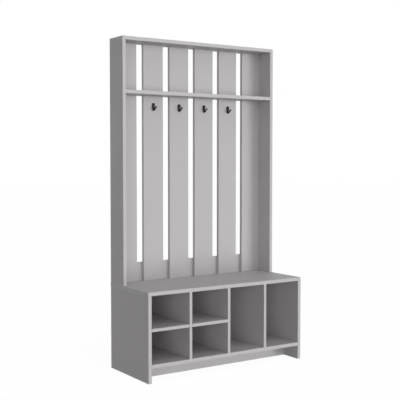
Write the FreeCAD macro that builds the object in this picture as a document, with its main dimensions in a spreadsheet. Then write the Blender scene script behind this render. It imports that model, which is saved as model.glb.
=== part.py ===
"""Hall tree: a bench with six open cubbies under a shallow upper frame of slats, a hat shelf and coat hooks.

Millimetres. +Z is up, the front looks to -Y and the left side is at -X. The origin is on the floor, in the
middle of the width and of the depth. Boards are flat-pack boards: each is one panel, drilled for the dowels,
cam locks and connector screws that hold it, and its edges are eased.
"""
import FreeCAD, Part
import Sketcher
import math
import os
import re

SIZES = [
    ("width", 980, "over the two sides"),
    ("depth", 400, "of the bench sides, front to back"),
    ("height", 1749, "floor to the top of the top board"),
    ("bench_height", 458, "floor to the seat"),
    ("upper_depth", 143, "of the upper frame"),
    ("hat_opening", 255, "clear height between the hat shelf and the top board"),
    ("carcass_board", 19, "thickness of sides, tops, hat shelf and bottom"),
    ("divider_board", 16, "thickness of the dividers"),
    ("cubby_board", 16, "thickness of the cubby shelves"),
    ("slat_board", 19, "thickness of the slats"),
    ("rail_board", 16, "thickness of the rail behind the slats"),
    ("kick_board", 16, "thickness of the kick board"),
    ("panel_board", 2.5, "thickness of the bench's back panel"),
    ("panel_inset", 3, "back panel's edge inside the bench's outline"),
    ("slat_width", 122, "of each slat"),
    ("rail_height", 101, "of the rail behind the slats' feet"),
    ("kick_height", 75, "floor to the underside of the bottom board"),
    ("kick_setback", 122, "kick board behind the bench's front"),
    ("cubby_play", 0.5, "gap at each end of a cubby shelf"),
    ("eased_edge", 0.7, "small flat on every edge of a board"),
    ("panel_edge", 0.3, "small flat on every edge of the back panel"),
    ("play", 0.1, "all round, between a fastener and its hole"),
    ("end_play", 0.5, "free depth past the end of a fastener"),
    ("dowel_across", 8, "diameter of every wood dowel"),
    ("dowel_length", 30, "of a plain dowel"),
    ("dowel_in_face", 12, "part of a plain dowel in a board's face"),
    ("dowel_edge", 1, "flat round each end of a dowel"),
    ("long_dowel_in_slat", 10.5, "part of a shelf dowel in each slat"),
    ("slat_dowel_inset", 30, "slat's edge to its dowel"),
    ("cam_across", 15, "diameter of a cam housing"),
    ("cam_height", 12.5, "of a cam housing"),
    ("cam_axis_depth", 8, "face of the board to the cam bolt's middle"),
    ("cam_setback", 34, "end of the board to the middle of its cam"),
    ("cam_chamber", 7.6, "width of the hollow that holds the bolt's head"),
    ("cam_mouth", 5, "width of the slot that the bolt's neck passes"),
    ("cam_wall", 2.6, "metal left round the hollow"),
    ("cam_slot_length", 8, "of the cam's cross recess"),
    ("cam_slot_width", 2.4, "of the cam's cross recess"),
    ("cam_slot_depth", 2, "of the cam's cross recess"),
    ("bolt_in_face", 11, "threaded part of a cam bolt"),
    ("bolt_thread", 6, "diameter of that part"),
    ("bolt_shank", 6.4, "diameter of a cam bolt in the edge bore"),
    ("bolt_neck", 4, "diameter of its neck"),
    ("bolt_neck_length", 6, "of its neck"),
    ("bolt_head", 7, "diameter of its head"),
    ("bolt_head_length", 4, "of its head"),
    ("bolt_bore", 8, "diameter of the bore in the board's end"),
    ("cap_across", 17, "diameter of a cam cap"),
    ("cap_thickness", 0.9, "of a cam cap or connector cap"),
    ("cap_stub", 2.2, "diameter of the stub under a cap"),
    ("cap_stub_length", 1.5, "of the stub under a cap"),
    ("connector_length", 50, "of a connector screw"),
    ("connector_head", 10, "diameter of its head"),
    ("connector_head_length", 3.5, "of its head"),
    ("connector_shank", 7, "diameter under the head"),
    ("connector_shank_length", 11, "of the smooth shank"),
    ("connector_thread", 5.6, "diameter of the threaded part"),
    ("connector_point", 3, "length of its pointed end"),
    ("connector_recess", 4, "across the recess in its head"),
    ("connector_recess_depth", 2.4, "of that recess"),
    ("connector_cap_across", 13, "diameter of a connector cap"),
    ("upright_joint_inset", 35, "connector screws from the uprights' edges"),
    ("bench_joint_front", 60, "first joint from the bench's front"),
    ("bench_joint_pitch", 160, "to the second cam of a bench side"),
    ("bench_dowel_front", 105, "first dowel of a bench side from the front"),
    ("bottom_joint_back", 60, "rear cam of the bottom board from the back"),
    ("bottom_dowel_inset", 120, "bottom board's dowels from front and back"),
    ("divider_joint_inset", 60, "dividers' dowels and screws from front and back"),
    ("shelf_dowel_inset", 30, "hat shelf's end dowels from front and back"),
    ("kick_cam_height", 24, "floor to the cam at each end of the kick board"),
    ("kick_dowel_height", 54, "floor to the dowel at each end of the kick board"),
    ("rail_cam_height", 72, "seat to the cam at each end of the rail"),
    ("rail_dowel_height", 30, "seat to the dowel at each end of the rail"),
    ("rail_screw_low", 30, "seat to the lower screw of each slat"),
    ("rail_screw_high", 72, "seat to the upper screw of each slat"),
    ("rail_screw_length", 27, "of the screws through the rail"),
    ("screw_across", 4, "diameter of the small wood screws"),
    ("screw_head", 7.6, "diameter of their countersunk heads"),
    ("screw_recess", 2.2, "across the recess in their heads"),
    ("screw_recess_depth", 1.4, "of that recess"),
    ("screw_point", 3, "length of their pointed ends"),
    ("pin_across", 5, "diameter of a shelf pin in its hole"),
    ("pin_in_board", 7.4, "part of a shelf pin in the board"),
    ("pin_head", 7, "diameter of the part that carries the shelf"),
    ("pin_head_length", 8, "of the part that carries the shelf"),
    ("pin_inset", 40, "shelf pins from front and back"),
    ("nail_across", 1.4, "diameter of a nail"),
    ("nail_length", 18, "of a nail under its head"),
    ("nail_head", 4, "diameter of a nail's head"),
    ("nail_head_length", 0.5, "of a nail's head"),
    ("nail_margin", 20, "back panel's corner to its first nail"),
    ("hook_below_shelf", 45.5, "hat shelf's underside to the middle of the hook's boss"),
    ("hook_boss", 17, "width of the hook's rounded top"),
    ("hook_foot", 10, "width of the hook's rounded foot"),
    ("hook_drop", 28.5, "middle of the boss to the middle of the foot"),
    ("hook_plate", 8, "thickness of the hook's plate"),
    ("hook_soft_edge", 2.5, "rounding of the plate's front edge"),
    ("prong_across", 7, "diameter of the prong"),
    ("prong_root", 10, "straight root of the prong"),
    ("prong_bend", 8, "radius of the prong's bend"),
    ("prong_reach", 30.8, "slat to the middle of the tip"),
    ("prong_angle", 39, "degrees that the prong rises"),
    ("tip_across", 9.8, "diameter of the ball at the tip"),
    ("hook_screw_length", 18, "of the hook's screw"),
    ("pip_across", 3, "diameter of the locating pip behind the foot"),
    ("pip_length", 3, "of the locating pip"),
    ("bracket_steel", 2, "thickness of the wall brackets"),
    ("bracket_width", 36, "of a wall bracket"),
    ("bracket_drop", 34, "of the leg against the wall"),
    ("bracket_bend", 2, "radius inside the bend"),
    ("bracket_gap", 2, "slat's back to the bracket's front edge"),
    ("bracket_hole", 5.5, "diameter of the hole for the wall's screw"),
    ("bracket_hole_drop", 20, "underside of the top board to that hole"),
    ("bracket_screw_length", 14, "of the screw into the top board"),
    ("bracket_screw_head", 7, "diameter of its head"),
    ("bracket_screw_head_length", 2.4, "of its head"),
]

PLACES = {
    "left": "-width / 2",
    "right": "width / 2",
    "back_overhang": "panel_board + nail_head_length",
    "front": "-(depth + back_overhang) / 2",
    "rear": "front + depth",
    "wall": "rear + back_overhang",
    "inner_left": "left + carcass_board",
    "inner_right": "right - carcass_board",
    "inner_width": "width - 2 * carcass_board",
    "left_middle": "left + carcass_board / 2",
    "right_middle": "right - carcass_board / 2",
    "upper_front": "rear - upper_depth",
    "seat_under": "bench_height - carcass_board",
    "top_under": "height - carcass_board",
    "shelf_top": "top_under - hat_opening",
    "shelf_height": "shelf_top - carcass_board",
    "hook_height": "shelf_height - hook_below_shelf",
    "bottom_top": "kick_height + carcass_board",
    "cubby_height": "seat_under - bottom_top",
    "bay": "(inner_width - 3 * divider_board) / 4",
    "bay_pitch": "bay + divider_board",
    "cubby_shelf_under": "(bottom_top + seat_under - cubby_board) / 2",
    "slat_pitch": "slat_width + (inner_width - 6 * slat_width) / 5",
    "slat_back": "rear - rail_board",
    "slat_front": "slat_back - slat_board",
    "slat_middle": "slat_back - slat_board / 2",
    "rail_middle": "rear - rail_board / 2",
    "kick_front": "front + kick_setback",
    "kick_middle": "kick_front + kick_board / 2",
    "kick_back": "kick_front + kick_board",
    "upright_joint_1": "upper_front + upright_joint_inset",
    "upright_joint_2": "rear - upright_joint_inset",
    "bench_cam_1": "front + bench_joint_front",
    "bench_cam_2": "bench_cam_1 + bench_joint_pitch",
    "bench_dowel_1": "front + bench_dowel_front",
    "bench_dowel_2": "bench_dowel_1 + bench_joint_pitch",
    "bottom_cam_1": "front + bench_joint_front",
    "bottom_cam_2": "rear - bottom_joint_back",
    "bottom_dowel_1": "front + bottom_dowel_inset",
    "bottom_dowel_2": "rear - bottom_dowel_inset",
    "divider_joint_1": "front + divider_joint_inset",
    "divider_joint_2": "rear - divider_joint_inset",
    "shelf_cam": "(upper_front + rear) / 2",
    "shelf_dowel_1": "upper_front + shelf_dowel_inset",
    "shelf_dowel_2": "rear - shelf_dowel_inset",
    "pin_1": "front + pin_inset",
    "pin_2": "rear - pin_inset",
    "pin_height": "cubby_shelf_under - pin_head / 2",
    "dowel_in_end": "dowel_length - dowel_in_face",
    "long_dowel_length": "carcass_board + 2 * long_dowel_in_slat",
    "bracket_reach": "wall - slat_back - bracket_gap",
    "bracket_screw_line": "slat_back + bracket_gap + (bracket_reach - bracket_steel) / 2",
    "prong_turn": "prong_angle * 1 deg",
    "prong_rise": "prong_reach - prong_root - prong_bend * sin(prong_turn)",
    "tip_height": "prong_bend * (1 - cos(prong_turn)) + prong_rise * tan(prong_turn)",
}

SLATS = range(6)
HOOKED_SLATS = (1, 2, 3, 4)

doc = FreeCAD.newDocument("hall_tree")
sheet = doc.addObject("Spreadsheet::Sheet", "Sizes")
for row, (alias, value, meaning) in enumerate(SIZES, start=1):
    sheet.set(f"A{row}", meaning)
    sheet.set(f"B{row}", str(value))
    sheet.setAlias(f"B{row}", alias)
doc.recompute()

ALIASES = {alias for alias, value, meaning in SIZES}
TINY = 1e-6


def formula(text):
    """Write an expression on the sheet's cells from the plain names of SIZES and PLACES."""
    def swap(match):
        word = match.group(0)
        if word in PLACES:
            return "(" + formula(PLACES[word]) + ")"
        if word in ALIASES:
            return "Sizes." + word
        return word
    return re.sub(r"[a-z_]+[a-z_0-9]*", swap, text)


def bind(item, prop, text):
    item.setExpression(prop, formula(text))


def size_of(alias):
    return float(getattr(sheet, alias))


def new_body(name):
    body = doc.addObject("PartDesign::Body", name)
    body.Label = name
    return body


def place_body(body, corner):
    for axis, text in zip("xyz", corner):
        bind(body, f"Placement.Base.{axis}", text)


def new_sketch(body, role, name):
    """A sketch on one of the body's own origin planes."""
    sketch = body.newObject("Sketcher::SketchObject", name)
    plane = [item for item in body.Origin.OriginFeatures if item.Role == role][0]
    sketch.AttachmentSupport = (plane, [""])
    sketch.MapMode = "FlatFace"
    return sketch


def hold(sketch, kind, places, text):
    """Add one dimension to a sketch and bind it to the sheet."""
    index = sketch.addConstraint(Sketcher.Constraint(kind, *places, 1.0))
    bind(sketch, f"Constraints[{index}]", text)


def polygon(sketch, corners):
    """A closed outline through corners, each given by two expressions. A corner at 0 lies on that axis."""
    count = len(corners)
    steps = [FreeCAD.Vector(index + 1.0, 1.0 + index * index, 0) for index in range(count)]
    lines = [Part.LineSegment(steps[index], steps[(index + 1) % count]) for index in range(count)]
    first = sketch.GeometryCount
    sketch.addGeometry(lines, False)
    for index, (across, up) in enumerate(corners):
        line = first + index
        sketch.addConstraint(Sketcher.Constraint("Coincident", line, 2, first + (index + 1) % count, 1))
        if across == "0":
            sketch.addConstraint(Sketcher.Constraint("PointOnObject", line, 1, -2))
        else:
            hold(sketch, "DistanceX", (-1, 1, line, 1), across)
        if up == "0":
            sketch.addConstraint(Sketcher.Constraint("PointOnObject", line, 1, -1))
        else:
            hold(sketch, "DistanceY", (-1, 1, line, 1), up)


def circle(sketch, across, up, diameter):
    index = sketch.addGeometry(Part.Circle(FreeCAD.Vector(1, 1, 0), FreeCAD.Vector(0, 0, 1), 1), False)
    if across == "0":
        sketch.addConstraint(Sketcher.Constraint("PointOnObject", index, 3, -2))
    else:
        hold(sketch, "DistanceX", (-1, 1, index, 3), across)
    if up == "0":
        sketch.addConstraint(Sketcher.Constraint("PointOnObject", index, 3, -1))
    else:
        hold(sketch, "DistanceY", (-1, 1, index, 3), up)
    hold(sketch, "Diameter", (index,), diameter)


def pad(body, sketch, length, name):
    feature = body.newObject("PartDesign::Pad", name)
    feature.Profile = sketch
    bind(feature, "Length", length)
    return feature


def pocket(body, sketch, length, name, backwards=False):
    feature = body.newObject("PartDesign::Pocket", name)
    feature.Profile = sketch
    feature.Reversed = backwards
    bind(feature, "Length", length)
    return feature


def revolve(body, sketch, name):
    feature = body.newObject("PartDesign::Revolution", name)
    feature.Profile = sketch
    feature.ReferenceAxis = (sketch, ["V_Axis"])
    feature.Angle = 360
    return feature


# Boards

BOARDS = {}
NODES = []


def board(name, corner, size, eased="eased_edge"):
    """A panel from its lowest corner and its three sizes, with every edge eased."""
    body = new_body(name)
    outline = new_sketch(body, "XY_Plane", name + "_outline")
    polygon(outline, [("0", "0"), (size[0], "0"), (size[0], size[1]), ("0", size[1])])
    panel = pad(body, outline, size[2], name + "_panel")
    doc.recompute()
    edges = body.newObject("PartDesign::Chamfer", name + "_edges")
    edges.Base = (panel, ["Edge1"])
    edges.UseAllEdges = True
    bind(edges, "Size", eased)
    place_body(body, corner)
    BOARDS[name] = (body, corner, size)
    NODES.append(body)


FACES = {
    "left": (0, False), "right": (0, True),
    "front": (1, False), "back": (1, True),
    "bottom": (2, False), "top": (2, True),
}
PLANES = ("YZ_Plane", "XZ_Plane", "XY_Plane")
ACROSS = ((1, 2), (0, 2), (0, 1))


def drill(name, face, spots, diameter, depth):
    """Drill a board from one face. Each spot is two places in the part's frame, across that face."""
    body, corner, size = BOARDS[name]
    axis, far = FACES[face]
    serial = len(body.Group)
    sketch = new_sketch(body, PLANES[axis], f"{name}_{face}_spots_{serial}")
    if far:
        # The XZ plane looks to -Y, so its far face lies at a negative offset.
        sign = "-" if axis == 1 else ""
        bind(sketch, "AttachmentOffset.Base.z", f"{sign}({size[axis]})")
    first, second = ACROSS[axis]
    for across, up in spots:
        circle(sketch, f"{across} - ({corner[first]})", f"{up} - ({corner[second]})", diameter)
    backwards = far if axis == 1 else not far
    return pocket(body, sketch, depth, f"{name}_{face}_bores_{serial}", backwards)


def boards():
    board("bench_left_side", ("left", "front", "0"), ("carcass_board", "depth", "seat_under"))
    board("bench_right_side", ("inner_right", "front", "0"), ("carcass_board", "depth", "seat_under"))
    board("bench_bottom", ("inner_left", "front", "kick_height"), ("inner_width", "depth", "carcass_board"))
    board("kick_board", ("inner_left", "kick_front", "0"), ("inner_width", "kick_board", "kick_height"))
    board("bench_top", ("left", "front", "seat_under"), ("width", "depth + back_overhang", "carcass_board"))
    for index, side in enumerate(("left", "middle", "right")):
        edge = f"inner_left + bay + {index} * bay_pitch"
        board(f"divider_{side}", (edge, "front", "bottom_top"), ("divider_board", "depth", "cubby_height"))
    for index, side in enumerate(("left", "right")):
        edge = f"inner_left + {index} * bay_pitch + cubby_play"
        board(f"cubby_shelf_{side}", (edge, "front", "cubby_shelf_under"),
              ("bay - 2 * cubby_play", "depth", "cubby_board"))
    board("bench_back_panel", ("left + panel_inset", "rear", "kick_height + panel_inset"),
          ("width - 2 * panel_inset", "panel_board", "seat_under - kick_height - panel_inset"), "panel_edge")
    board("upper_left_side", ("left", "upper_front", "bench_height"),
          ("carcass_board", "upper_depth", "top_under - bench_height"))
    board("upper_right_side", ("inner_right", "upper_front", "bench_height"),
          ("carcass_board", "upper_depth", "top_under - bench_height"))
    board("upper_top_board", ("left", "upper_front", "top_under"), ("width", "upper_depth", "carcass_board"))
    board("upper_shelf", ("inner_left", "upper_front", "shelf_height"),
          ("inner_width", "upper_depth", "carcass_board"))
    board("slat_rail", ("inner_left", "slat_back", "bench_height"), ("inner_width", "rail_board", "rail_height"))
    for index in SLATS:
        edge = f"inner_left + {index} * slat_pitch"
        board(f"lower_slat_{index + 1}", (edge, "slat_front", "bench_height"),
              ("slat_width", "slat_board", "shelf_height - bench_height"))
        board(f"upper_slat_{index + 1}", (edge, "slat_front", "shelf_top"),
              ("slat_width", "slat_board", "top_under - shelf_top"))


# Fasteners: one pattern piece each, standing on its tip with its axis along +Z

def turned(name, corners):
    """A turned piece from half of its outline, as (radius, height) pairs."""
    body = new_body(name)
    outline = new_sketch(body, "XZ_Plane", name + "_outline")
    polygon(outline, corners)
    revolve(body, outline, name + "_turned")
    return body


def dowel(name, length):
    return turned(name, [
        ("0", "0"),
        ("dowel_across / 2 - dowel_edge", "0"),
        ("dowel_across / 2", "dowel_edge"),
        ("dowel_across / 2", f"{length} - dowel_edge"),
        ("dowel_across / 2 - dowel_edge", length),
        ("0", length),
    ])


def cam_bolt():
    neck = "bolt_in_face + cam_setback - bolt_head_length / 2"
    return turned("cam_bolt", [
        ("0", "0"),
        ("bolt_thread / 2 - dowel_edge", "0"),
        ("bolt_thread / 2", "dowel_edge"),
        ("bolt_thread / 2", "bolt_in_face"),
        ("bolt_shank / 2", "bolt_in_face"),
        ("bolt_shank / 2", f"{neck} - bolt_neck_length"),
        ("bolt_neck / 2", f"{neck} - bolt_neck_length"),
        ("bolt_neck / 2", neck),
        ("bolt_head / 2", neck),
        ("bolt_head / 2", f"{neck} + bolt_head_length"),
        ("0", f"{neck} + bolt_head_length"),
    ])


def centred_slot(sketch, length, width):
    """A rectangle about the sketch's origin."""
    corners = [(-2, -1), (2, -1), (2, 1), (-2, 1)]
    points = [FreeCAD.Vector(across, up, 0) for across, up in corners]
    lines = [Part.LineSegment(points[index], points[(index + 1) % 4]) for index in range(4)]
    sketch.addGeometry(lines, False)
    for index in range(4):
        sketch.addConstraint(Sketcher.Constraint("Coincident", index, 2, (index + 1) % 4, 1))
    sketch.addConstraint(Sketcher.Constraint("Horizontal", 0))
    sketch.addConstraint(Sketcher.Constraint("Horizontal", 2))
    sketch.addConstraint(Sketcher.Constraint("Vertical", 1))
    sketch.addConstraint(Sketcher.Constraint("Symmetric", 0, 1, 1, 2, -1, 1))
    hold(sketch, "DistanceX", (0, 1, 0, 2), length)
    hold(sketch, "DistanceY", (1, 1, 1, 2), width)


def cam_housing():
    """A cam: a short drum, hollow where the bolt's head turns, with a mouth for its neck towards +X."""
    body = new_body("cam_housing")
    rim = new_sketch(body, "XY_Plane", "cam_rim")
    circle(rim, "0", "0", "cam_across")
    pad(body, rim, "cam_height", "cam_drum")
    chamber = new_sketch(body, "XY_Plane", "cam_chamber_outline")
    bind(chamber, "AttachmentOffset.Base.z", "cam_height - cam_axis_depth + cam_chamber / 2")
    centred_slot(chamber, "cam_across - 2 * cam_wall", "cam_chamber")
    pocket(body, chamber, "cam_chamber", "cam_hollow")
    mouth = new_sketch(body, "YZ_Plane", "cam_mouth_outline")
    bind(mouth, "AttachmentOffset.Base.y", "cam_height - cam_axis_depth")
    centred_slot(mouth, "cam_mouth", "cam_chamber")
    pocket(body, mouth, "cam_across", "cam_opening", True)
    for turn, (along, aside) in enumerate((("cam_slot_length", "cam_slot_width"),
                                           ("cam_slot_width", "cam_slot_length"))):
        cross = new_sketch(body, "XY_Plane", f"cam_cross_{turn}")
        bind(cross, "AttachmentOffset.Base.z", "cam_height")
        centred_slot(cross, along, aside)
        pocket(body, cross, "cam_slot_depth", f"cam_recess_{turn}")
    return body


def cap(name, across):
    return turned(name, [
        ("0", "0"),
        ("cap_stub / 2", "0"),
        ("cap_stub / 2", "cap_stub_length"),
        (f"{across} / 2", "cap_stub_length"),
        (f"{across} / 2", "cap_stub_length + cap_thickness / 2"),
        (f"{across} / 2 - cap_thickness", "cap_stub_length + cap_thickness"),
        ("0", "cap_stub_length + cap_thickness"),
    ])


def connector_screw():
    head = "connector_length - connector_head_length"
    return turned("connector_screw", [
        ("0", "0"),
        ("connector_thread / 2", "connector_point"),
        ("connector_thread / 2", f"{head} - connector_shank_length"),
        ("connector_shank / 2", f"{head} - connector_shank_length"),
        ("connector_shank / 2", head),
        ("connector_head / 2", head),
        ("connector_head / 2", "connector_length"),
        ("connector_recess / 2", "connector_length"),
        ("connector_recess / 2", "connector_length - connector_recess_depth"),
        ("0", "connector_length - connector_recess_depth"),
    ])


def countersunk_screw(name, length):
    """The head's cone is at 90 degrees, so it is as deep as it is wider than the shank on one side."""
    return turned(name, [
        ("0", "0"),
        ("screw_across / 2", "screw_point"),
        ("screw_across / 2", f"{length} - (screw_head - screw_across) / 2"),
        ("screw_head / 2", length),
        ("screw_recess / 2", length),
        ("0", f"{length} - screw_recess_depth"),
    ])


def bracket_screw():
    return turned("bracket_screw", [
        ("0", "0"),
        ("screw_across / 2", "screw_point"),
        ("screw_across / 2", "bracket_screw_length"),
        ("bracket_screw_head / 2", "bracket_screw_length"),
        ("bracket_screw_head / 2", "bracket_screw_length + bracket_screw_head_length / 2"),
        ("bracket_screw_head / 4", "bracket_screw_length + bracket_screw_head_length"),
        ("0", "bracket_screw_length + bracket_screw_head_length"),
    ])


def shelf_pin():
    return turned("shelf_pin", [
        ("0", "0"),
        ("pin_across / 2", "0"),
        ("pin_across / 2", "pin_in_board"),
        ("pin_head / 2", "pin_in_board"),
        ("pin_head / 2", "pin_in_board + pin_head_length"),
        ("0", "pin_in_board + pin_head_length"),
    ])


def nail():
    return turned("nail", [
        ("0", "0"),
        ("nail_across / 2", "nail_across"),
        ("nail_across / 2", "nail_length"),
        ("nail_head / 2", "nail_length"),
        ("nail_head / 2", "nail_length + nail_head_length"),
        ("0", "nail_length + nail_head_length"),
    ])


DIRECTIONS = {
    "left": FreeCAD.Vector(-1, 0, 0), "right": FreeCAD.Vector(1, 0, 0),
    "forward": FreeCAD.Vector(0, -1, 0), "back": FreeCAD.Vector(0, 1, 0),
    "down": FreeCAD.Vector(0, 0, -1), "up": FreeCAD.Vector(0, 0, 1),
}
OPPOSITE = {"left": "right", "right": "left", "forward": "back", "back": "forward", "down": "up", "up": "down"}
AXIS_OF = {"left": 0, "right": 0, "forward": 1, "back": 1, "down": 2, "up": 2}
SIGN_OF = {"left": "-", "right": "+", "forward": "-", "back": "+", "down": "-", "up": "+"}
GROUPS = {}


def shifted(point, direction, distance):
    """Expressions for a point moved a distance in one direction."""
    moved = list(point)
    axis = AXIS_OF[direction]
    moved[axis] = f"{point[axis]} {SIGN_OF[direction]} ({distance})"
    return tuple(moved)


def add(group, pattern, point, up, aside=None):
    """Set one copy of a fastener with its tip at point and its axis along up."""
    links = GROUPS.setdefault(group, [])
    link = doc.addObject("App::Link", f"{group}_{len(links) + 1}")
    link.LinkedObject = pattern
    across = DIRECTIONS[aside] if aside else FreeCAD.Vector()
    turn = FreeCAD.Rotation(across, FreeCAD.Vector(), DIRECTIONS[up], "ZXY")
    link.Placement = FreeCAD.Placement(FreeCAD.Vector(), turn)
    for axis, text in zip("xyz", point):
        bind(link, f"Placement.Base.{axis}", text)
    links.append(link)


def gather():
    """Each kind of fastener is one node of separate solids."""
    for name, links in GROUPS.items():
        compound = doc.addObject("Part::Compound", name)
        compound.Label = name
        compound.Links = links
        NODES.append(compound)


FACE_OF = {"left": "left", "right": "right", "forward": "front", "back": "back", "down": "bottom", "up": "top"}


def spot(point, face):
    first, second = ACROSS[FACES[face][0]]
    return point[first], point[second]


def join_with_dowels(pattern, end_board, face_board, into_end, points, group="board_dowels"):
    """Dowels at the butt joint of a board's end with another board's face. into_end points into the end."""
    end_face = FACE_OF[OPPOSITE[into_end]]
    face = FACE_OF[into_end]
    hole = "dowel_across + 2 * play"
    drill(end_board, end_face, [spot(point, end_face) for point in points], hole, "dowel_in_end + end_play")
    drill(face_board, face, [spot(point, face) for point in points], hole, "dowel_in_face + end_play")
    for point in points:
        add(group, pattern, shifted(point, OPPOSITE[into_end], "dowel_in_face"), into_end)


def join_with_cams(patterns, end_board, face_board, into_end, cam_side, points, capped=False):
    """Cam locks at a butt joint. cam_side is the way that the cams face on the board whose end is joined."""
    drum, bolt, cover = patterns
    end_face = FACE_OF[OPPOSITE[into_end]]
    face = FACE_OF[into_end]
    cam_face = FACE_OF[cam_side]
    drill(end_board, end_face, [spot(point, end_face) for point in points], "bolt_bore", "cam_setback")
    drill(face_board, face, [spot(point, face) for point in points],
          "bolt_thread + 2 * play", "bolt_in_face + end_play")
    centres = [shifted(shifted(point, into_end, "cam_setback"), cam_side, "cam_axis_depth") for point in points]
    drill(end_board, cam_face, [spot(centre, cam_face) for centre in centres],
          "cam_across + 2 * play", "cam_height")
    for point, centre in zip(points, centres):
        add("cam_bolts", bolt, shifted(point, OPPOSITE[into_end], "bolt_in_face"), into_end)
        add("cam_housings", drum, shifted(centre, OPPOSITE[cam_side], "cam_height"), cam_side,
            OPPOSITE[into_end])
        if capped:
            add("cam_caps", cover, shifted(centre, OPPOSITE[cam_side], "cap_stub_length"), cam_side)


def join_with_connectors(pattern, face_board, end_board, into_end, points):
    """Connector screws through a board's face into another board's end, their heads flush."""
    outer = FACE_OF[OPPOSITE[into_end]]
    spots = [spot(point, outer) for point in points]
    drill(face_board, outer, spots, "connector_shank + 2 * play", "carcass_board")
    drill(face_board, outer, spots, "connector_head + 2 * play", "connector_head_length")
    drill(end_board, outer, spots, "connector_thread + 2 * play",
          "connector_length - carcass_board + end_play")
    for point in points:
        tip = shifted(point, into_end, "connector_length - carcass_board")
        add("connector_screws", pattern, tip, OPPOSITE[into_end])


# Joints

def bench_joints(plain_dowel, cams, connector):
    for side, middle, inward in (("left", "left_middle", "right"), ("right", "right_middle", "left")):
        upright = f"bench_{side}_side"
        edge = f"inner_{side}"
        cam_line = shifted((edge, "", ""), OPPOSITE[inward], "cam_axis_depth")[0]
        join_with_cams(cams, upright, "bench_top", "down", inward,
                       [(cam_line, "bench_cam_1", "seat_under"), (cam_line, "bench_cam_2", "seat_under")], True)
        join_with_dowels(plain_dowel, upright, "bench_top", "down",
                         [(middle, "bench_dowel_1", "seat_under"), (middle, "bench_dowel_2", "seat_under")])
        level = "kick_height + cam_axis_depth"
        join_with_cams(cams, "bench_bottom", upright, inward, "down",
                       [(edge, "bottom_cam_1", level), (edge, "bottom_cam_2", level)])
        level = "kick_height + carcass_board / 2"
        join_with_dowels(plain_dowel, "bench_bottom", upright, inward,
                         [(edge, "bottom_dowel_1", level), (edge, "bottom_dowel_2", level)])
        join_with_cams(cams, "kick_board", upright, inward, "back",
                       [(edge, "kick_back - cam_axis_depth", "kick_cam_height")])
        join_with_dowels(plain_dowel, "kick_board", upright, inward,
                         [(edge, "kick_middle", "kick_dowel_height")])
    for index, side in enumerate(("left", "middle", "right")):
        middle = f"inner_left + bay + {index} * bay_pitch + divider_board / 2"
        lines = ("divider_joint_1", "divider_joint_2")
        join_with_dowels(plain_dowel, f"divider_{side}", "bench_top", "down",
                         [(middle, line, "seat_under") for line in lines])
        join_with_connectors(connector, "bench_bottom", f"divider_{side}", "up",
                             [(middle, line, "bottom_top") for line in lines])
        if side != "middle":
            join_with_dowels(plain_dowel, "kick_board", "bench_bottom", "down",
                             [(middle, "kick_middle", "kick_height")])


def upper_joints(plain_dowel, cams, connector, connector_cap):
    for side, middle, inward in (("left", "left_middle", "right"), ("right", "right_middle", "left")):
        upright = f"upper_{side}_side"
        edge = f"inner_{side}"
        lines = ("upright_joint_1", "upright_joint_2")
        join_with_connectors(connector, "bench_top", upright, "up",
                             [(middle, line, "bench_height") for line in lines])
        join_with_connectors(connector, "upper_top_board", upright, "down",
                             [(middle, line, "top_under") for line in lines])
        for line in lines:
            add("connector_caps", connector_cap, (middle, line, "height - cap_stub_length"), "up")
        join_with_cams(cams, "upper_shelf", upright, inward, "down",
                       [(edge, "shelf_cam", "shelf_height + cam_axis_depth")], True)
        level = "shelf_height + carcass_board / 2"
        join_with_dowels(plain_dowel, "upper_shelf", upright, inward,
                         [(edge, "shelf_dowel_1", level), (edge, "shelf_dowel_2", level)])
        join_with_cams(cams, "slat_rail", upright, inward, "back",
                       [(edge, "rear - cam_axis_depth", "bench_height + rail_cam_height")])
        join_with_dowels(plain_dowel, "slat_rail", upright, inward,
                         [(edge, "rail_middle", "bench_height + rail_dowel_height")])


def slat_joints(plain_dowel, long_dowel, rail_screw):
    shelf_spots = []
    rail_spots = []
    long_hole = "dowel_across + 2 * play"
    for index in SLATS:
        edge = f"inner_left + {index} * slat_pitch"
        centre = f"{edge} + slat_width / 2"
        lines = (f"{edge} + slat_dowel_inset", f"{edge} + slat_width - slat_dowel_inset")
        lower = f"lower_slat_{index + 1}"
        upper = f"upper_slat_{index + 1}"
        join_with_dowels(plain_dowel, lower, "bench_top", "up",
                         [(line, "slat_middle", "bench_height") for line in lines], "slat_dowels")
        join_with_dowels(plain_dowel, upper, "upper_top_board", "down",
                         [(line, "slat_middle", "top_under") for line in lines], "slat_dowels")
        spots = [(line, "slat_middle") for line in lines]
        drill(lower, "top", spots, long_hole, "long_dowel_in_slat + end_play")
        drill(upper, "bottom", spots, long_hole, "long_dowel_in_slat + end_play")
        shelf_spots += spots
        for line in lines:
            add("shelf_dowels", long_dowel, (line, "slat_middle", "shelf_height - long_dowel_in_slat"), "up")
        spots = [(centre, "bench_height + rail_screw_low"), (centre, "bench_height + rail_screw_high")]
        rail_spots += spots
        drill(lower, "back", spots, "screw_across + 2 * play", "rail_screw_length - rail_board + end_play")
        for across, level in spots:
            add("rail_screws", rail_screw, (across, "rear - rail_screw_length", level), "back")
    drill("upper_shelf", "bottom", shelf_spots, long_hole, "carcass_board")
    bores = drill("slat_rail", "back", rail_spots, "screw_across + 2 * play", "rail_board")
    countersink(BOARDS["slat_rail"][0], bores, 1, size_of("rail_board"), "slat_rail_countersinks")


def screw_mouths(shape, axis, level):
    """The names of the screw holes' round edges that lie in one plane across an axis."""
    radius = size_of("screw_across") / 2 + size_of("play")
    names = []
    for number, edge in enumerate(shape.Edges, start=1):
        if not isinstance(edge.Curve, Part.Circle) or abs(edge.Curve.Radius - radius) > TINY:
            continue
        if abs(edge.CenterOfMass[axis] - level) < TINY:
            names.append(f"Edge{number}")
    return names


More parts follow.
